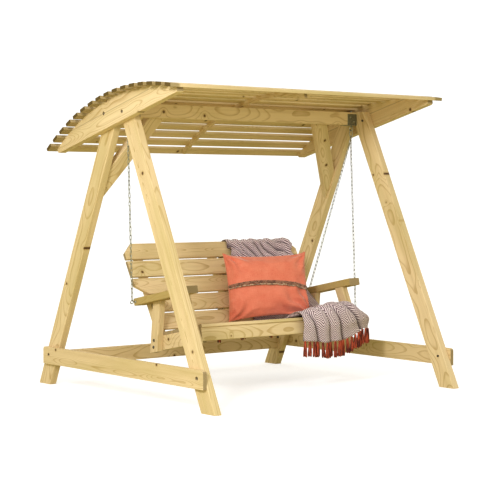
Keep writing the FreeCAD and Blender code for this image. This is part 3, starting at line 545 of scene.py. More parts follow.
class SWING_OT_chains(bpy.types.Operator):
    """Make the chains, quick links and eyes from round bar"""
    bl_idname = "swing.chains"
    bl_label = "Chains and eyes"

    # Outlines of turned shapes: the distance along the shape's line and the radius there.
    sleeve = ((0, 0.0031), (0.0006, 0.0037), (0.0134, 0.0037), (0.014, 0.0031))
    beam_washer = ((0, 0.0098), (0.0016, 0.0098))
    beam_nut = ((0, 0.0066), (0.0005, 0.0074), (0.006, 0.0074), (0.0065, 0.0066))
    bench_washer = ((0, 0.0079), (0.0012, 0.0079), (0.0016, 0.0074))
    # Beam eyes: thickness of the wire, radii of the neck's ends, the shank and the tip, and the tip's length.
    wire, neck, root, shank, tip, tip_length = 0.007, 0.0045, 0.0056, 0.0038, 0.003, 0.001
    # Bench eyes: radii of the loop's centre line and wire, how far behind the tip its centre and its last
    # points lie; the shank's depth in the timber, threaded length, two radii and gap to the loop's centre.
    loop, loop_wire, loop_centre, loop_reach = 0.011, 0.003, 0.014, 0.022
    sunk, thread_length, thread, stem, stem_end = 0.03, 0.034, 0.0039, 0.0034, 0.0105

    def execute(self, context):
        s = context.scene.swing_metal
        zinc = metal("zinc_bar", s.zinc, s.dull, 0.3)
        for node in (f"chain_{where}_{side}" for where in ("front", "rear") for side in SIDES):
            parts = Parts()
            for solid in corners(node):
                middle, ways, size = axes(solid)
                middle, along, across = Vector(middle), Vector(ways[0]), Vector(ways[1])
                path = stadium(middle, along, across, size[0] - 2 * s.bar, size[1] - 2 * s.bar, s.bar, 6)
                parts.tube(path, s.bar / 2, 8, closed=True, up=along.cross(across))
            parts.piece(node + "_links", "bench", zinc, node, slot="chain_zinc")
        for side in SIDES:
            self.quick_link(side, zinc)
            self.beam_eye(side, zinc)
        self.bench_eyes(zinc)
        return {"FINISHED"}

    def quick_link(self, side, zinc):
        """A long link that a threaded sleeve closes on its outer side."""
        node = "quick_link_" + side
        middle = Vector(axes(corners(node)[0])[0])
        low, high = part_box(node)
        size = high - low
        bar = size.y
        parts = Parts()
        path = stadium(middle, Z, X, size.z - 2 * bar, size.x - 2 * bar, bar)
        parts.tube(path, bar / 2, 12, closed=True, up=Y)
        out = 1 if middle.x > 0 else -1
        start = middle - Vector((out * (size.x - bar) / 2, 0, self.sleeve[-1][0] / 2))
        parts.turned(start, Z, self.sleeve, 6)
        parts.piece(node + "_bar", "bench", zinc, node, slot="chain_zinc", smooth=False)

    def beam_eye(self, side, zinc):
        """An eye under the beam's shoe, its shank up through the beam and its washer and nut on top."""
        node = "beam_eye_" + side
        low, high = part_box(node)
        x, y = (low.x + high.x) / 2, (low.y + high.y) / 2
        outer = high.y - y
        middle = low.z + outer
        over = middle + outer - self.wire / 2
        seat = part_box("beam_shoe_" + side)[0].z
        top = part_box("ridge_beam")[1].z
        parts = Parts()
        parts.tube(circle(Vector((x, y, middle)), Y, Z, outer - self.wire / 2, 40), self.wire / 2, 14,
                   closed=True, up=X)
        up = high.z - seat
        for start, outline, sides in (
                (over, ((0, self.neck), (seat - over, self.root)), 16),
                (seat, ((0, self.shank), (up - self.tip_length, self.shank), (up, self.tip)), 16),
                (top, self.beam_washer, 24), (top + self.beam_washer[-1][0], self.beam_nut, 6)):
            parts.turned((x, y, start), Z, outline, sides)
        parts.piece(node + "_bar", "stand", zinc, node, slot="chain_zinc", smooth=False)

    def bench_eyes(self, zinc):
        """Screw eyes whose loops face the way that their chains pull."""
        parts = Parts()
        for solid in corners("bench_eyes"):
            out = 1 if solid[:, 0].mean() > 0 else -1
            tip = solid[:, 0].max() if out > 0 else solid[:, 0].min()
            near = solid[np.abs(solid[:, 0] - tip) < self.loop_reach]
            centre = Vector((tip - out * self.loop_centre, *((near.max(0) + near.min(0)) / 2)[1:]))
            rise = Vector((0, -centre.y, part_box("quick_link_right")[0].z - centre.z)).normalized()
            ring = circle(centre, X, rise, self.loop, 36)
            parts.tube(ring, self.loop_wire, 12, closed=True, up=X.cross(rise))
            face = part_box("post_front_right" if centre.y < 0 else "arm_right")[1].x * out
            start, way = Vector((face, centre.y, centre.z)), out * X
            parts.turned(start, way, self.bench_washer, 24)
            parts.turned(start - way * self.sunk, way, (
                (0, self.thread), (self.thread_length, self.thread),
                (abs(centre.x - face) + self.sunk - self.stem_end, self.stem)), 14)
        parts.piece("bench_eye_bars", "bench", zinc, "bench_eyes", slot="chain_zinc", smooth=False)


class SWING_OT_bolts(bpy.types.Operator):
    """Make the bolts, screws and the finish of the beam shoes"""
    bl_idname = "swing.bolts"
    bl_label = "Bolts, screws and shoes"

    # Outlines of turned shapes: the distance along the shape's line and the radius there.
    head = ((0, 0.0098), (0.0012, 0.0096), (0.0026, 0.0078), (0.0036, 0.0045), (0.0039, 0.001))
    nut = ((0, 0.0068), (0.0005, 0.0075), (0.0064, 0.0075))
    screw_head = ((0, 0.0045), (0.0008, 0.0043), (0.0018, 0.003), (0.002, 0.0012), (0.0012, 0.0009))
    # Height of a bolt's head, length left under its nut, radius of its shank, and a screw's head and radii.
    head_rise, nut_start, shank = 0.004, 0.004, 0.0039
    screw_rise, screw_point, screw_shank = 0.002, 0.001, 0.0021

    def execute(self, context):
        s = context.scene.swing_metal
        dull = metal("dull_steel", s.bolt, s.dull, 0.45)
        shoe = metal("galvanised_sheet", s.shoe, s.dull, 0.42, bump=0.2)
        for side in SIDES:
            node = frame["nodes"]["beam_shoe_" + side]
            node.data.materials.clear()
            node.data.materials.append(shoe)
        for node, body in (("stretcher_bolts", "stand"), ("rib_bolts", "stand"), ("bench_bolts", "bench")):
            parts = Parts()
            for solid in corners(node):
                self.bolt(parts, solid, node != "bench_bolts")
            parts.piece(node + "_turned", body, dull, node, slot="bolt_steel", smooth=False)
        parts = Parts()
        for solid in corners("shoe_screws"):
            self.screw(parts, solid)
        parts.piece("shoe_screws_turned", "stand", bpy.data.materials["zinc_bar"], "shoe_screws",
                    slot="chain_zinc", smooth=False)
        return {"FINISHED"}

    def screw(self, parts, solid):
        """A pan-headed screw; its head is at the wider end of the solid."""
        middle, ways, size = axes(solid)
        ends = (solid - middle) @ ways[0]
        wide = [np.ptp(solid[ends * sign > size[0] * 0.42] @ ways[1]) for sign in (1, -1)]
        way = Vector(ways[0]) if wide[0] > wide[1] else -Vector(ways[0])
        tip = Vector(middle) + way * size[0] / 2
        parts.turned(tip - way * self.screw_rise, way, self.screw_head, 16)
        end = size[0] - self.screw_rise
        parts.turned(tip - way * size[0], way,
                     ((0, self.screw_point), (0.006, self.screw_shank), (end, self.screw_shank)), 10)

    def bolt(self, parts, solid, nutted):
        """A domed head on the outboard end, and a nut inboard where the bolt shows there."""
        low, high = solid.min(0), solid.max(0)
        out = 1 if low[0] + high[0] > 0 else -1
        outer, inner = (high[0], low[0]) if out > 0 else (low[0], high[0])
        y, z = (low[1] + high[1]) / 2, (low[2] + high[2]) / 2
        way = (out, 0, 0)
        parts.turned((outer - out * self.head_rise, y, z), way, self.head, 24)
        parts.turned((inner, y, z), way, (
            (0, 0.0034), (0.0006, self.shank), (abs(outer - inner) - self.head_rise, self.shank)), 14)
        if nutted:
            parts.turned((inner + out * self.nut_start, y, z), way, self.nut, 6)


def run_cloth(piece, frames, pressure, limit):
    """Puffs a closed cloth without gravity, then keeps the result with no point moved past the limit."""
    start = np.array([tuple(v.co) for v in piece.data.vertices])
    cloth = piece.modifiers.new("puff", "CLOTH")
    s = cloth.settings
    s.quality = 6
    s.mass = 0.2
    s.tension_stiffness = s.compression_stiffness = 12
    s.shear_stiffness = 6
    s.bending_stiffness = 0.6
    s.use_pressure = True
    s.uniform_pressure_force = pressure
    s.effector_weights.gravity = 0
    cloth.point_cache.frame_start = 1
    cloth.point_cache.frame_end = frames
    for k in range(1, frames + 1):
        bpy.context.scene.frame_set(k)
    posed = piece.evaluated_get(bpy.context.evaluated_depsgraph_get()).to_mesh()
    end = np.array([tuple(v.co) for v in posed.vertices])
    piece.modifiers.remove(cloth)
    bpy.context.scene.frame_set(1)
    move = end - start
    far = np.linalg.norm(move, axis=1, keepdims=True)
    move *= np.minimum(1, limit / np.maximum(far, 1e-9))
    piece.data.vertices.foreach_set("co", (start + move).ravel())
    piece.data.update()


class SWING_OT_cushion(bpy.types.Operator):
    """Make the coral cushion with its flap, braid and bobbles"""
    bl_idname = "swing.cushion"
    bl_label = "Cushion"

    # Each corner's place, how many folds run in from it and their start, reach and height.
    gathers = ((-1, -1, 9, 1, 0.09, 0.008), (1, -1, 12, 2, 0.13, 0.013), (1, 1, 9, 3, 0.08, 0.009),
               (-1, 1, 10, 4, 0.09, 0.010))
    # How far the lower left corner sinks and the upper corners stand up, and how far the sides bow inward.
    sink, ear, bow = 0.022, 0.013, 0.016
    # How much thicker the cover is above the flap's edge, and how much more its lip stands out.
    layer, lip = 0.0026, 0.0012
    # The cord that the braid is plaited from, and the thread that a bobble hangs on.
    cord, thread = 0.0027, 0.0008

    def execute(self, context):
        s = context.scene.swing_cushion
        turn = (Euler((0, 0, s.turn)).to_matrix() @ Euler((s.lean, 0, 0)).to_matrix()
                @ Euler((0, s.roll, 0)).to_matrix())
        solid = np.vstack(corners("cushion"))
        local = solid @ np.array(turn)
        low, high = local.min(0), local.max(0)
        middle = (low + high) / 2 @ np.array(turn).T
        place = Matrix.Translation(Vector(middle)) @ turn.to_4x4()
        self.half = (high - low) / 2
        mesh = self.pad()
        piece = bpy.data.objects.new("cushion_cover", mesh)
        context.scene.collection.objects.link(piece)
        run_cloth(piece, 16, 2.2, 0.010)
        self.stretch(mesh)
        soft = piece.modifiers.new("fine", "SUBSURF")
        soft.levels = soft.render_levels = 1
        context.view_layer.objects.active = piece
        piece.select_set(True)
        bpy.ops.object.modifier_apply(modifier=soft.name)
        piece.select_set(False)
        self.flap(mesh)
        mesh.shade_smooth()
        mesh.materials.append(self.cover(s))
        piece.matrix_world = place
        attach(piece, "bench")
        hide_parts("cushion")
        self.trim(mesh, place, s)
        return {"FINISHED"}

    def crown(self, u, v):
        """Share of the full thickness over the cushion's face, for u and v from -1 to 1."""
        edge = max(0.0, (1 - abs(u) ** 2.6) * (1 - abs(v) ** 2.6))
        return edge ** 0.62

    def pad(self):
        """Two crowned faces sewn together along sides that bow inward."""
        n = 56
        w, thick, h = self.half * 0.985
        thick *= 0.95
        points, faces, index = [], [], {}
        for side in (-1, 1):
            for i in range(n + 1):
                for j in range(n + 1):
                    seam = i in (0, n) or j in (0, n)
                    if seam and (i, j, 0) in index:
                        index[i, j, side] = index[i, j, 0]
                        continue
                    u, v = (math.sin(math.pi / 2 * t) * 0.3 + t * 0.7
                            for t in (2 * i / n - 1, 2 * j / n - 1))
                    x = u * (w - self.bow * (1 - v * v) * abs(u))
                    z = v * (h - self.bow * (1 - u * u) * abs(v))
                    y = side * thick * self.crown(u, v)
                    y += side * self.creases(u, v) * min(1, 4 * self.crown(u, v))
                    index[i, j, side] = len(points)
                    if seam:
                        index[i, j, 0] = len(points)
                    points.append((x, y, z))
            for i in range(n):
                for j in range(n):
                    quad = [index[i + a, j + b, side] for a, b in ((0, 0), (1, 0), (1, 1), (0, 1))]
                    faces.append(quad if side < 0 else quad[::-1])
        return mesh_from("cushion_cover", points, faces)

    def creases(self, u, v):
        """Shallow folds that run in from the corners and gathers along the seams."""
        total = 0.0
        for a, b, turns, seed, reach, high in self.gathers:
            dx, dz = (u - a) * self.half[0], (v - b) * self.half[2]
            away = math.hypot(dx, dz)
            angle = math.atan2(abs(dz), abs(dx))
            ripple = math.sin(angle * turns + seed + 3 * noise.noise((away * 9, seed, 0)))
            total += high * ripple * math.exp(-((away - reach) / reach) ** 2)
        drift = noise.noise((u * 2.0, v * 2.6, 5)) * 0.010 + noise.noise((u * 4, v * 7, 9)) * 0.004
        for k, edge in enumerate((1 - abs(u), 1 - abs(v))):
            along = (v, u)[k]
            gather = math.sin(along * 26 + 4 * noise.noise((along * 3, k, 2)))
            total += 0.0028 * gather * math.exp(-edge / 0.09)
        return total + drift

    def stretch(self, mesh):
        """Draws the puffed cover back out to the cushion's corners and lets the lower left corner sink."""
        for axis in (0, 2):
            reach = max(abs(v.co[axis]) for v in mesh.vertices)
            for v in mesh.vertices:
                v.co[axis] *= self.half[axis] / reach
        for v in mesh.vertices:
            low, left = max(0, -v.co.z / self.half[2]), max(0, 0.4 - v.co.x / self.half[0]) / 1.4
            v.co.z -= self.sink * low * left
            ear = abs(v.co.x / self.half[0]) ** 5 * max(0, v.co.z / self.half[2]) ** 3
            v.co.z += self.ear * ear
        mesh.update()

    def line(self, t):
        """Height of the flap's edge across the cushion, for t from -1 to 1."""
        return self.half[2] * (0.02 - 0.12 * t * t - 0.05 * t)

    def flap(self, mesh):
        """Lifts the front face above the flap's edge by the thickness of one more layer."""
        w = self.half[0]
        normals = [v.normal.copy() for v in mesh.vertices]
        for v, normal in zip(mesh.vertices, normals):
            if v.co.y > 0.004:
                continue
            t = max(-1, min(1, v.co.x / w))
            above = (v.co.z - self.line(t)) / 0.004
            lip = math.exp(-(above - 1.5) ** 2 / 3) * self.lip
            v.co += normal * (ramp(above, -0.5, 0.5) * self.layer + lip) * min(1, -v.co.y / 0.012 + 0.2)
        mesh.update()

    def trim(self, mesh, place, s):
        """A plaited braid along the flap's edge and a row of small bobbles under it."""
        tree = BVHTree.FromPolygons([v.co for v in mesh.vertices], [list(p.vertices) for p in mesh.polygons])
        chance = random.Random(11)
        braid, bobbles = Parts(), Parts()
        w = self.half[0] * 0.965
        count = 240
        spots = []
        for t in (2 * k / count - 1 for k in range(count + 1)):
            spot, normal, _, _ = tree.ray_cast(Vector((t * w, -0.2, self.line(t) + 0.004)), Y)
            if spot is not None:
                spots.append((spot, normal))
        for phase in range(3):
            path = []
            for k, (spot, normal) in enumerate(spots):
                a = k * 0.42 + phase * 2.094
                out = normal * (0.0030 + 0.0020 * math.cos(a))
                path.append(place @ (spot + out + Vector((0, 0, 0.0070 * math.sin(a)))))
            braid.tube(path, self.cord, 6)
        down = -(place.to_3x3() @ Z)
        for spot, normal in spots[4:-4:4]:
            drop = 0.0125 + chance.uniform(-0.002, 0.002)
            top = spot + normal * 0.003 - Vector((0, 0, 0.004))
            knot = top - Vector((chance.uniform(-0.001, 0.001), 0, drop)) + normal * 0.003
            middle = (top + knot) / 2 + normal * 0.001
            bobbles.tube([place @ p for p in (top, middle, knot)], self.thread, 5)
            r = chance.uniform(0.0052, 0.0064)
            outline = [(r * d, r * across) for d, across in ((0.3, 0.75), (0.9, 1), (1.5, 0.8), (2, 0.1))]
            bobbles.turned(place @ (knot + Vector((0, 0, r))), down, [(0, 0.0006)] + outline, 8)
        for name, parts, shade in (("cushion_braid", braid, s.braid), ("cushion_bobbles", bobbles, s.bobble)):
            material, g = new_material(name + "_yarn", bump=0.5, grain=0.0006, Roughness=0.85,
                                       Sheen_Weight=0.3)
            there = g.add("TexCoord").outputs["Object"]
            fuzz = g.noise(there, 700.0, 3.0)
            patch = g.smooth(g.noise(there, 70.0, 2.0), 0.42, 0.55)
            share = g.fused(fuzz, 0.5, g.times(patch, 0.75), clamp=True)
            g.dress(g.mix(share, dimmed(shade, 0.28), dimmed(shade, 1.25)), fuzz)
            parts.piece(name, "bench", material, slot="cushion_fabric")

    def cover(self, s):
        material, g = new_material("coral_cotton", bump=0.35, grain=0.0005, Roughness=0.82,
                                   Sheen_Weight=0.35, Sheen_Roughness=0.5)
        there = g.add("TexCoord").outputs["Object"]
        x, _, z = g.split(there)
        made = effect(g, "Plain weave", {"Vector": g.add("CombineXYZ", x, z).outputs[0], "Pitch": s.weave})
        cloud = g.smooth(g.noise(there, 14.0, 3.0), 0.35, 0.7)
        g.dress(g.mix(g.fused(cloud, 0.3, made["Shade"], clamp=True), s.cloth, s.shade), made["Thread"])
        return material


class SWING_OT_throw(bpy.types.Operator):
    """Drape the herringbone throw over the back and seat, with tassels on both ends"""
    bl_idname = "swing.throw"
    bl_label = "Throw and fringe"

    # Where the cloth bends: depth and height of its underside, its left and right edges,
    # and how strongly it is folded there.
    bends = (
        (0.420, 0.330, 0.094, 0.634, 1.0), (0.420, 0.600, 0.100, 0.640, 0.8),
        (0.421, 0.846, 0.104, 0.640, 0.5), (0.391, 0.896, 0.104, 0.640, 0.4),
        (0.366, 0.902, 0.104, 0.636, 0.4), (0.290, 0.768, 0.112, 0.600, 0.3),
        (0.206, 0.620, 0.120, 0.592, 0.2), (0.066, 0.374, 0.130, 0.592, 0.2),
        (-0.136, 0.409, 0.120, 0.592, 0.6), (-0.250, 0.431, 0.126, 0.594, 0.9),
        (-0.322, 0.446, 0.140, 0.594, 1.0), (-0.347, 0.447, 0.145, 0.640, 1.0),
        (-0.372, 0.405, 0.148, 0.700, 1.0), (-0.376, 0.318, 0.150, 0.716, 1.0),
    )
    # Folds that hang behind the back: where each starts and ends across the cloth, its width and height.
    folds = ((0.05, 0.03, 0.030, 0.014), (0.17, 0.16, 0.034, 0.018), (0.30, 0.30, 0.040, 0.012),
             (0.44, 0.42, 0.036, 0.020), (0.57, 0.55, 0.034, 0.014), (0.70, 0.68, 0.042, 0.020),
             (0.83, 0.82, 0.050, 0.013), (0.95, 0.95, 0.034, 0.016))
    # Height of the pleats on the back and at the front, and the share of a pleat in which it drops.
    back_fold, front_fold, pleat_drop = 0.030, 0.032, 0.14
    # How much higher than the solid's the front hem hangs, and how high the cloth is heaped on the seat's
    # edge, each from left to right with the places across the cloth.
    hem_at, hem = (0, 0.2, 0.28, 0.6, 0.72, 0.86, 1), (-0.018, -0.026, -0.038, -0.026, 0.004, 0.036, 0.030)
    heap_at = (0, 0.07, 0.17, 0.39, 0.55, 0.73, 0.83, 0.94, 1)
    heap = (0.0, 0.006, 0.014, 0.030, 0.048, 0.062, 0.052, 0.020, 0.0)
    # Rear hem: where it hangs in bunches, how wide they are and how far it is drawn up between them.
    bunches, bunch_wide, drawn_up = (0.02, 0.40, 0.84), 0.075, 0.075
    # Sag of the taut right edge, how far the front's right corner is turned back, and the cloth's thickness.
    slack, corner_back, cloth = 0.025, 0.045, 0.0024
    # Points across the cloth, yarns in a tassel, and the yarn's radius.
    across, yarns, yarn = 150, 19, 0.0023

    def execute(self, context):
        s = context.scene.swing_throw
        grid, flat, painted_crease_shades, run = self.surface(self.rounded())
        mesh = self.sheet_mesh(grid, flat, painted_crease_shades, run)
        piece = keep("throw_cloth", mesh, "bench", self.herringbone(s), "throw", slot="throw_fabric")
        thick = piece.modifiers.new("thick", "SOLIDIFY")
        thick.thickness = self.cloth
        thick.offset = 0
        fringe = self.fringe(grid, s)
        return {"FINISHED"}

    def rounded(self):
        """The bends joined by short steps and eased."""
        marks = np.array(self.bends)
        steps = []
        for a, b in zip(marks, marks[1:]):
            count = max(2, round(math.hypot(b[0] - a[0], b[1] - a[1]) / 0.008))
            steps += [a + (b - a) * k / count for k in range(count)]
        path = np.array(steps + [marks[-1]])
        for _ in range(3):
            path[1:-1] = path[1:-1] * 0.5 + (path[:-2] + path[2:]) * 0.25
        return path

    def surface(self, path):
        """The cloth's points with and without folds, how much painted shade each one's crease gets, and the
        run down it.
        """
        run = np.concatenate([[0], np.cumsum(np.hypot(*np.diff(path[:, :2], axis=0).T))])
        share = run / run[-1]
        top, landing = np.argmax(path[:, 1]) + 3, np.argmax(path[:, 0] < -0.12)
        self.top, self.landing, self.nose = share[top], share[landing], share[np.argmax(path[:, 0] < -0.35)]
        along = np.gradient(path[:, :2], axis=0)
        along /= np.linalg.norm(along, axis=1, keepdims=True)
        out = np.stack([along[:, 1], -along[:, 0]], 1)
        folded, flat, painted_crease_shades = [], [], []
        for (y, z, left, right, strong), v, way in zip(path, share, out):
            hanging = ramp(v, self.nose, 1)
            for u in np.arange(self.across + 1) / self.across:
                lift, painted_crease_shade = self.lift(u, v, strong)
                x = left + (right - left) * u + self.sway(u, v)
                rise = float(np.interp(u, self.hem_at, self.hem)) * hanging
                rise += self.gathered(u) * ramp(v, 0.28, 0)
                deep, high = self.spanned(u, v, y, z, path[top], path[landing])
                deep += self.corner_back * ramp(u, 0.84, 1) * hanging
                folded.append((x, deep + way[0] * lift, high + way[1] * lift + rise))
                flat.append((x, deep, high + rise))
                painted_crease_shades.append(painted_crease_shade)
        shape = (len(path), self.across + 1, 3)
        return np.array(folded).reshape(shape), np.array(flat).reshape(shape), painted_crease_shades, run

    def spanned(self, u, v, y, z, top, landing):
        """Depth and height of the underside; its right edge spans taut from the back's top to the seat."""
        if not self.top < v < self.landing:
            return y, z
        t = (v - self.top) / (self.landing - self.top)
        taut, sag = eased(ramp(u, 0.72, 0.88)), self.slack * math.sin(math.pi * t)
        return (y + taut * (top[0] + (landing[0] - top[0]) * t + sag - y),
                z + taut * (top[1] + (landing[1] - top[1]) * t - sag - z))

    def sway(self, u, v):
        """Sideways wander of the threads."""
        return 0.006 * noise.noise((u * 3, v * 7, 2)) + 0.004 * math.sin(v * 23 + u * 4)

    def gathered(self, u):
        """How far the rear hem is drawn up between the places where it hangs in bunches."""
        bunch = sum(math.exp(-((u - c) / self.bunch_wide) ** 2) for c in self.bunches)
        return self.drawn_up * (1 - min(1, bunch))

    def pleat(self, place):
        """The height across one fold, which climbs slowly and then drops."""
        t, drop = place % 1, self.pleat_drop
        return eased(t / (1 - drop) if t < 1 - drop else (1 - t) / drop)

    def lift(self, u, v, strong):
        """How far the cloth stands off what it lies on, and how much painted shade darkens the crease there.
        """
        chance = noise.noise((u * 6, v * 9, 4))
        total = 0.001
        # Folds of the rear hang, which fade out at the top of the back.
        for start, end, width, rear in self.folds:
            middle = start + (end - start) * v + 0.018 * math.sin(v * 9 + start * 20)
            high = rear * ramp(v, 0.36, 0.30)
            total += high * (1 + 0.35 * chance) * math.exp(-((u - middle) / width) ** 2)
        # Slanting pleats down the back.
        back = max(0.12, ramp(v, 0.335, 0.355)) * ramp(v, 0.55, 0.45)
        wave = self.pleat(7 * u - 19 * v + 0.7 * noise.noise((u * 4, v * 5, 8)))
        total += self.back_fold * back * wave * (1 + 0.9 * chance)
        # Painted shade in the back pleats' creases, darkest where a pleat drops.
        painted_crease_shade = (back if v > self.top else 0) * ramp(wave, 0.55, 0)
        # Pleats of the front, on from a little behind the seat's edge.
        front = ramp(v, self.nose - 0.10, self.nose - 0.02)
        slant = 5.1 * (u - 1.3 * (v - self.nose) - 0.10) + 0.5 * noise.noise((u * 3, v * 6, 3))
        wave = 0.5 * abs(math.sin(math.pi * slant)) ** 0.8 + 0.5 * self.pleat(slant)
        total += self.front_fold * front * wave * (1 + 0.5 * chance)
        # Painted shade in the front pleats' creases.
        painted_crease_shade += front * ramp(wave, 0.35, 0)
        heap = float(np.interp(u, self.heap_at, self.heap))
        total += heap * math.exp(-((v - self.nose + 0.008) / 0.045) ** 2)
        return total + 0.0025 * (1 + noise.noise((u * 9, v * 20, 7))) * strong, painted_crease_shade

    def sheet_mesh(self, grid, flat, painted_crease_shades, run):
        """The cloth's mesh; its UV map is the unfolded cloth, so that folds don't stretch the weave."""
        rows, n = len(grid), self.across + 1
        faces = [(k + j, k + j + 1, k + n + j + 1, k + n + j)
                 for k in range(0, (rows - 1) * n, n) for j in range(n - 1)]
        mesh = mesh_from("throw_cloth", grid.reshape(-1, 3), faces)
        width = np.concatenate([[0], np.cumsum(np.linalg.norm(np.diff(flat[rows // 2], axis=0), axis=1))])
        down = np.concatenate([np.zeros((1, n)),
                               np.cumsum(np.linalg.norm(np.diff(flat, axis=0), axis=2), axis=0)])
        down = down - down[rows // 2] + run[rows // 2]
        layer = mesh.uv_layers.new(name="cloth")
        for loop in mesh.loops:
            k, j = divmod(loop.vertex_index, n)
            layer.data[loop.index].uv = (width[j], down[k, j])
        # The painted crease shade is kept on each point for the material.
        mesh.attributes.new("painted_crease_shade", "FLOAT", "POINT").data.foreach_set("value", np.float32(painted_crease_shades))
        return mesh

    def herringbone(self, s):
        """Slanting stripes that turn back at each column, in cream and purple-brown yarn, with painted shade
        in the creases.
        """
        material, g = new_material("herringbone_wool", bump=0.5, grain=0.0012, Roughness=0.9,
                                   Sheen_Weight=0.3, Sheen_Roughness=0.6)
        u, v, _ = g.split(g.add("TexCoord").outputs["UV"])
        flat = g.add("CombineXYZ", u, v).outputs[0]
        zigzag = g.calc("PINGPONG", g.over(u, s.column), 1.0)
        wobble = g.times(g.noise(g.scaled(flat, 60, 60, 0), 1.0, 2.0), 0.35)
        level = g.plus(g.over(v, s.pitch), g.fused(zigzag, 2.7, wobble))
        stripe = g.smooth(g.calc("PINGPONG", level, 0.5), 0.19, 0.33)
        fleck = g.noise(g.scaled(flat, 420, 420, 0), 1.0, 2.0)
        mask = g.fused(g.minus(fleck, 0.5), 1.3, stripe, clamp=True)
        broad = g.smooth(g.noise(g.scaled(flat, 9, 3, 0), 1.0, 2.0), 0.3, 0.7)
        weave = g.mix(mask, s.dark, g.mix(g.times(broad, 0.35), s.pale, between(s.pale, s.dark, 0.4)))
        # Painted shade in the creases darkens the weave toward dimmed dark yarn.
        painted_crease_shade = g.add("Attribute", attribute_name="painted_crease_shade").outputs["Fac"]
        g.dress(g.mix(g.times(painted_crease_shade, 0.95, clamp=True), weave, dimmed(s.dark, 0.45)),
                g.plus(g.times(stripe, 0.6), fleck))
        return material

    def fringe(self, grid, s):
        """Knotted tassels of several yarns, hung from both woven edges."""
        chance = random.Random(5)
        parts = Parts()
        for edge in (grid[0], grid[-1]):
            steps = np.concatenate([[0], np.cumsum(np.linalg.norm(np.diff(edge, axis=0), axis=1))])
            for k in range(s.tassels):
                at = (k + 0.5) / s.tassels * steps[-1]
                spot = Vector([np.interp(at, steps, edge[:, c]) for c in range(3)])
                self.tassel(parts, spot, s.tassel * chance.uniform(0.9, 1.0), chance)
        material, g = new_material("rust_yarn", bump=0.6, grain=0.0008, Roughness=0.9,
                                   Sheen_Weight=0.4, Sheen_Roughness=0.5)
        there = g.add("TexCoord").outputs["Object"]
        strand = g.noise(g.scaled(there, 150, 150, 14), 1.0, 3.0)
        cloud = g.noise(g.scaled(there, 30, 30, 6), 1.0, 2.0)
        share = g.fused(g.minus(cloud, 0.5), 1.2, g.smooth(strand, 0.46, 0.58), clamp=True)
        g.dress(g.mix(share, s.fringe_shade, s.fringe), strand)
        return parts.piece("throw_tassels", "bench", material, "throw_fringe", slot="fringe_yarn")

    def tassel(self, parts, top, long, chance):
        """A knot under the hem, its collar, and yarns that spread a little and hang with kinks."""
        knot = top - Vector((0, 0, 0.004))
        parts.tube([top + Vector((0, 0, 0.002)), knot], 0.0016, 5, up=Y)
        parts.turned(knot + Vector((0, 0, 0.003)), -Z,
                     ((0, 0.003), (0.0020, 0.0078), (0.0075, 0.0084), (0.011, 0.0064)), 9)
        lean = Vector((chance.uniform(-0.07, 0.07), chance.uniform(-0.03, 0.02), 0))
        for k in range(self.yarns):
            a = 2 * math.pi * k / 5.7 + chance.uniform(-0.4, 0.4)
            way = Vector((math.cos(a), math.sin(a), 0))
            reach = long - 0.012 - chance.uniform(0, 0.008)
            spread = chance.uniform(0.0, 0.007)
            wave = chance.uniform(0, 6)
            path = []
            for t in (j / 8 for j in range(9)):
                bulge = way * (0.0052 + spread * math.sin(t * 1.7))
                kink = Vector((math.sin(t * 9 + wave), math.cos(t * 7 + wave), 0)) * 0.0011 * t
                path.append(knot + bulge + kink + lean * t * t * reach - Vector((0, 0, 0.003 + reach * t)))
            parts.tube(path, [self.yarn] * 8 + [0.0012], 5, up=Y)


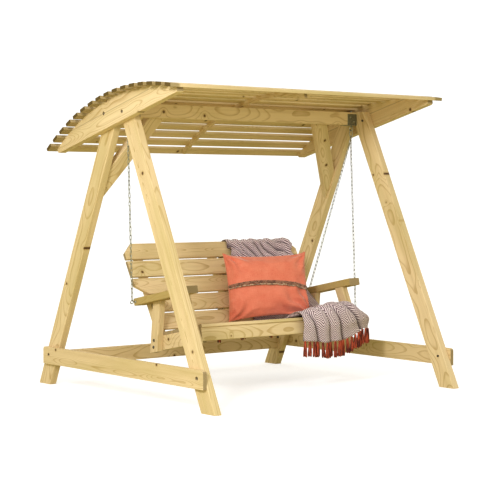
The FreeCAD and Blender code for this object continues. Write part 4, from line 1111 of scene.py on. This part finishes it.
class SWING_OT_stage(bpy.types.Operator):
    """Set the floor, the soft light and the camera"""
    bl_idname = "swing.stage"
    bl_label = "Stage"

    # Each light's name, place and size, where they aim, and the floor's half width and depth under the feet.
    lamps = (("key", (-4.8, -3.1, 3.05), 1.2), ("front", (-4.0, -7.0, 2.6), 4.0))
    aim, half_floor, floor_drop = (0, 0, 0.8), 40, 0.0005
    # Colours that floor and sky give back to the seat, and the sky's strength as the camera sees it.
    bounce, sky, sky_seen = (0.61, 0.59, 0.33), (1.0, 0.98, 0.82), 0.97

    def execute(self, context):
        s, scene = context.scene.swing_stage, context.scene
        self.floor(scene, s)
        self.world(scene, s)
        for (name, place, size), power in zip(self.lamps, (s.key, s.fill)):
            light = bpy.data.lights.new(name, "AREA")
            light.shape, light.size, light.energy = "DISK", size, power
            lamp = bpy.data.objects.new(name, light)
            scene.collection.objects.link(lamp)
            lamp.location = place
            lamp.rotation_euler = (Vector(self.aim) - Vector(place)).to_track_quat("-Z", "Y").to_euler()
        camera = bpy.data.objects.new("camera", bpy.data.cameras.new("camera"))
        scene.collection.objects.link(camera)
        camera.location, camera.rotation_euler = s.place, s.turn
        camera.data.lens, camera.data.sensor_width, camera.data.clip_end = s.lens, 36, 200
        scene.camera = camera
        scene.view_settings.view_transform = "Standard"
        scene.view_settings.look = "Medium High Contrast"
        return {"FINISHED"}

    def floor(self, scene, s):
        """A plain floor that looks pale and gives the seat a warm light back."""
        material, g = new_material("pale_floor", bump=0.0, Roughness=0.9, Specular_IOR_Level=0.1)
        seen = g.add("LightPath").outputs["Is Camera Ray"]
        g.put(g.shader.inputs["Base Color"], g.mix(seen, self.bounce, s.floor))
        g.shader.inputs["Emission Color"].default_value = (1, 1, 1, 1)
        g.put(g.shader.inputs["Emission Strength"], g.times(seen, s.glow))
        r = self.half_floor
        mesh = mesh_from("floor", [(-r, -r, 0), (r, -r, 0), (r, r, 0), (-r, r, 0)], [(0, 1, 2, 3)])
        mesh.materials.append(material)
        floor = bpy.data.objects.new("floor", mesh)
        scene.collection.objects.link(floor)
        floor.location.z = -self.floor_drop

    def world(self, scene, s):
        """Soft light from all sides, near white to the camera."""
        scene.world = world = scene.world or bpy.data.worlds.new("studio")
        world.use_nodes = True
        g = Graph(world.node_tree)
        world.node_tree.nodes.clear()
        seen = g.add("LightPath").outputs["Is Camera Ray"]
        power = g.fused(seen, self.sky_seen - s.surround, s.surround)
        g.add("OutputWorld", g.add("Background", g.mix(seen, self.sky, (1, 1, 1)), power).outputs[0])


STEPS = (SWING_OT_stage, SWING_OT_timber, SWING_OT_chains, SWING_OT_bolts, SWING_OT_cushion, SWING_OT_throw)


class SWING_PT_panel(bpy.types.Panel):
    """Sizes, colours and steps of the swing seat"""
    bl_label = "Swing Seat"
    bl_idname = "SWING_PT_panel"
    bl_space_type = "VIEW_3D"
    bl_region_type = "UI"
    bl_category = "Swing Seat"

    def draw(self, context):
        for step in STEPS:
            self.layout.operator(step.bl_idname)
        for name in SETTINGS:
            values = getattr(context.scene, name)
            box = self.layout.box()
            for label in values.__annotations__:
                box.prop(values, label)


SETTINGS = {"swing_timber": SwingTimber, "swing_metal": SwingMetal, "swing_cushion": SwingCushion,
            "swing_throw": SwingThrow, "swing_stage": SwingStage}
CLASSES = (*SETTINGS.values(), *STEPS, SWING_PT_panel)


def register():
    for c in CLASSES:
        bpy.utils.register_class(c)
    for name, kind in SETTINGS.items():
        setattr(bpy.types.Scene, name, PointerProperty(type=kind))


def unregister():
    for name in SETTINGS:
        delattr(bpy.types.Scene, name)
    for c in reversed(CLASSES):
        bpy.utils.unregister_class(c)


def main():
    register()
    for step in STEPS:
        family, name = step.bl_idname.split(".")
        getattr(getattr(bpy.ops, family), name)()


if __name__ == "__main__":
    main()
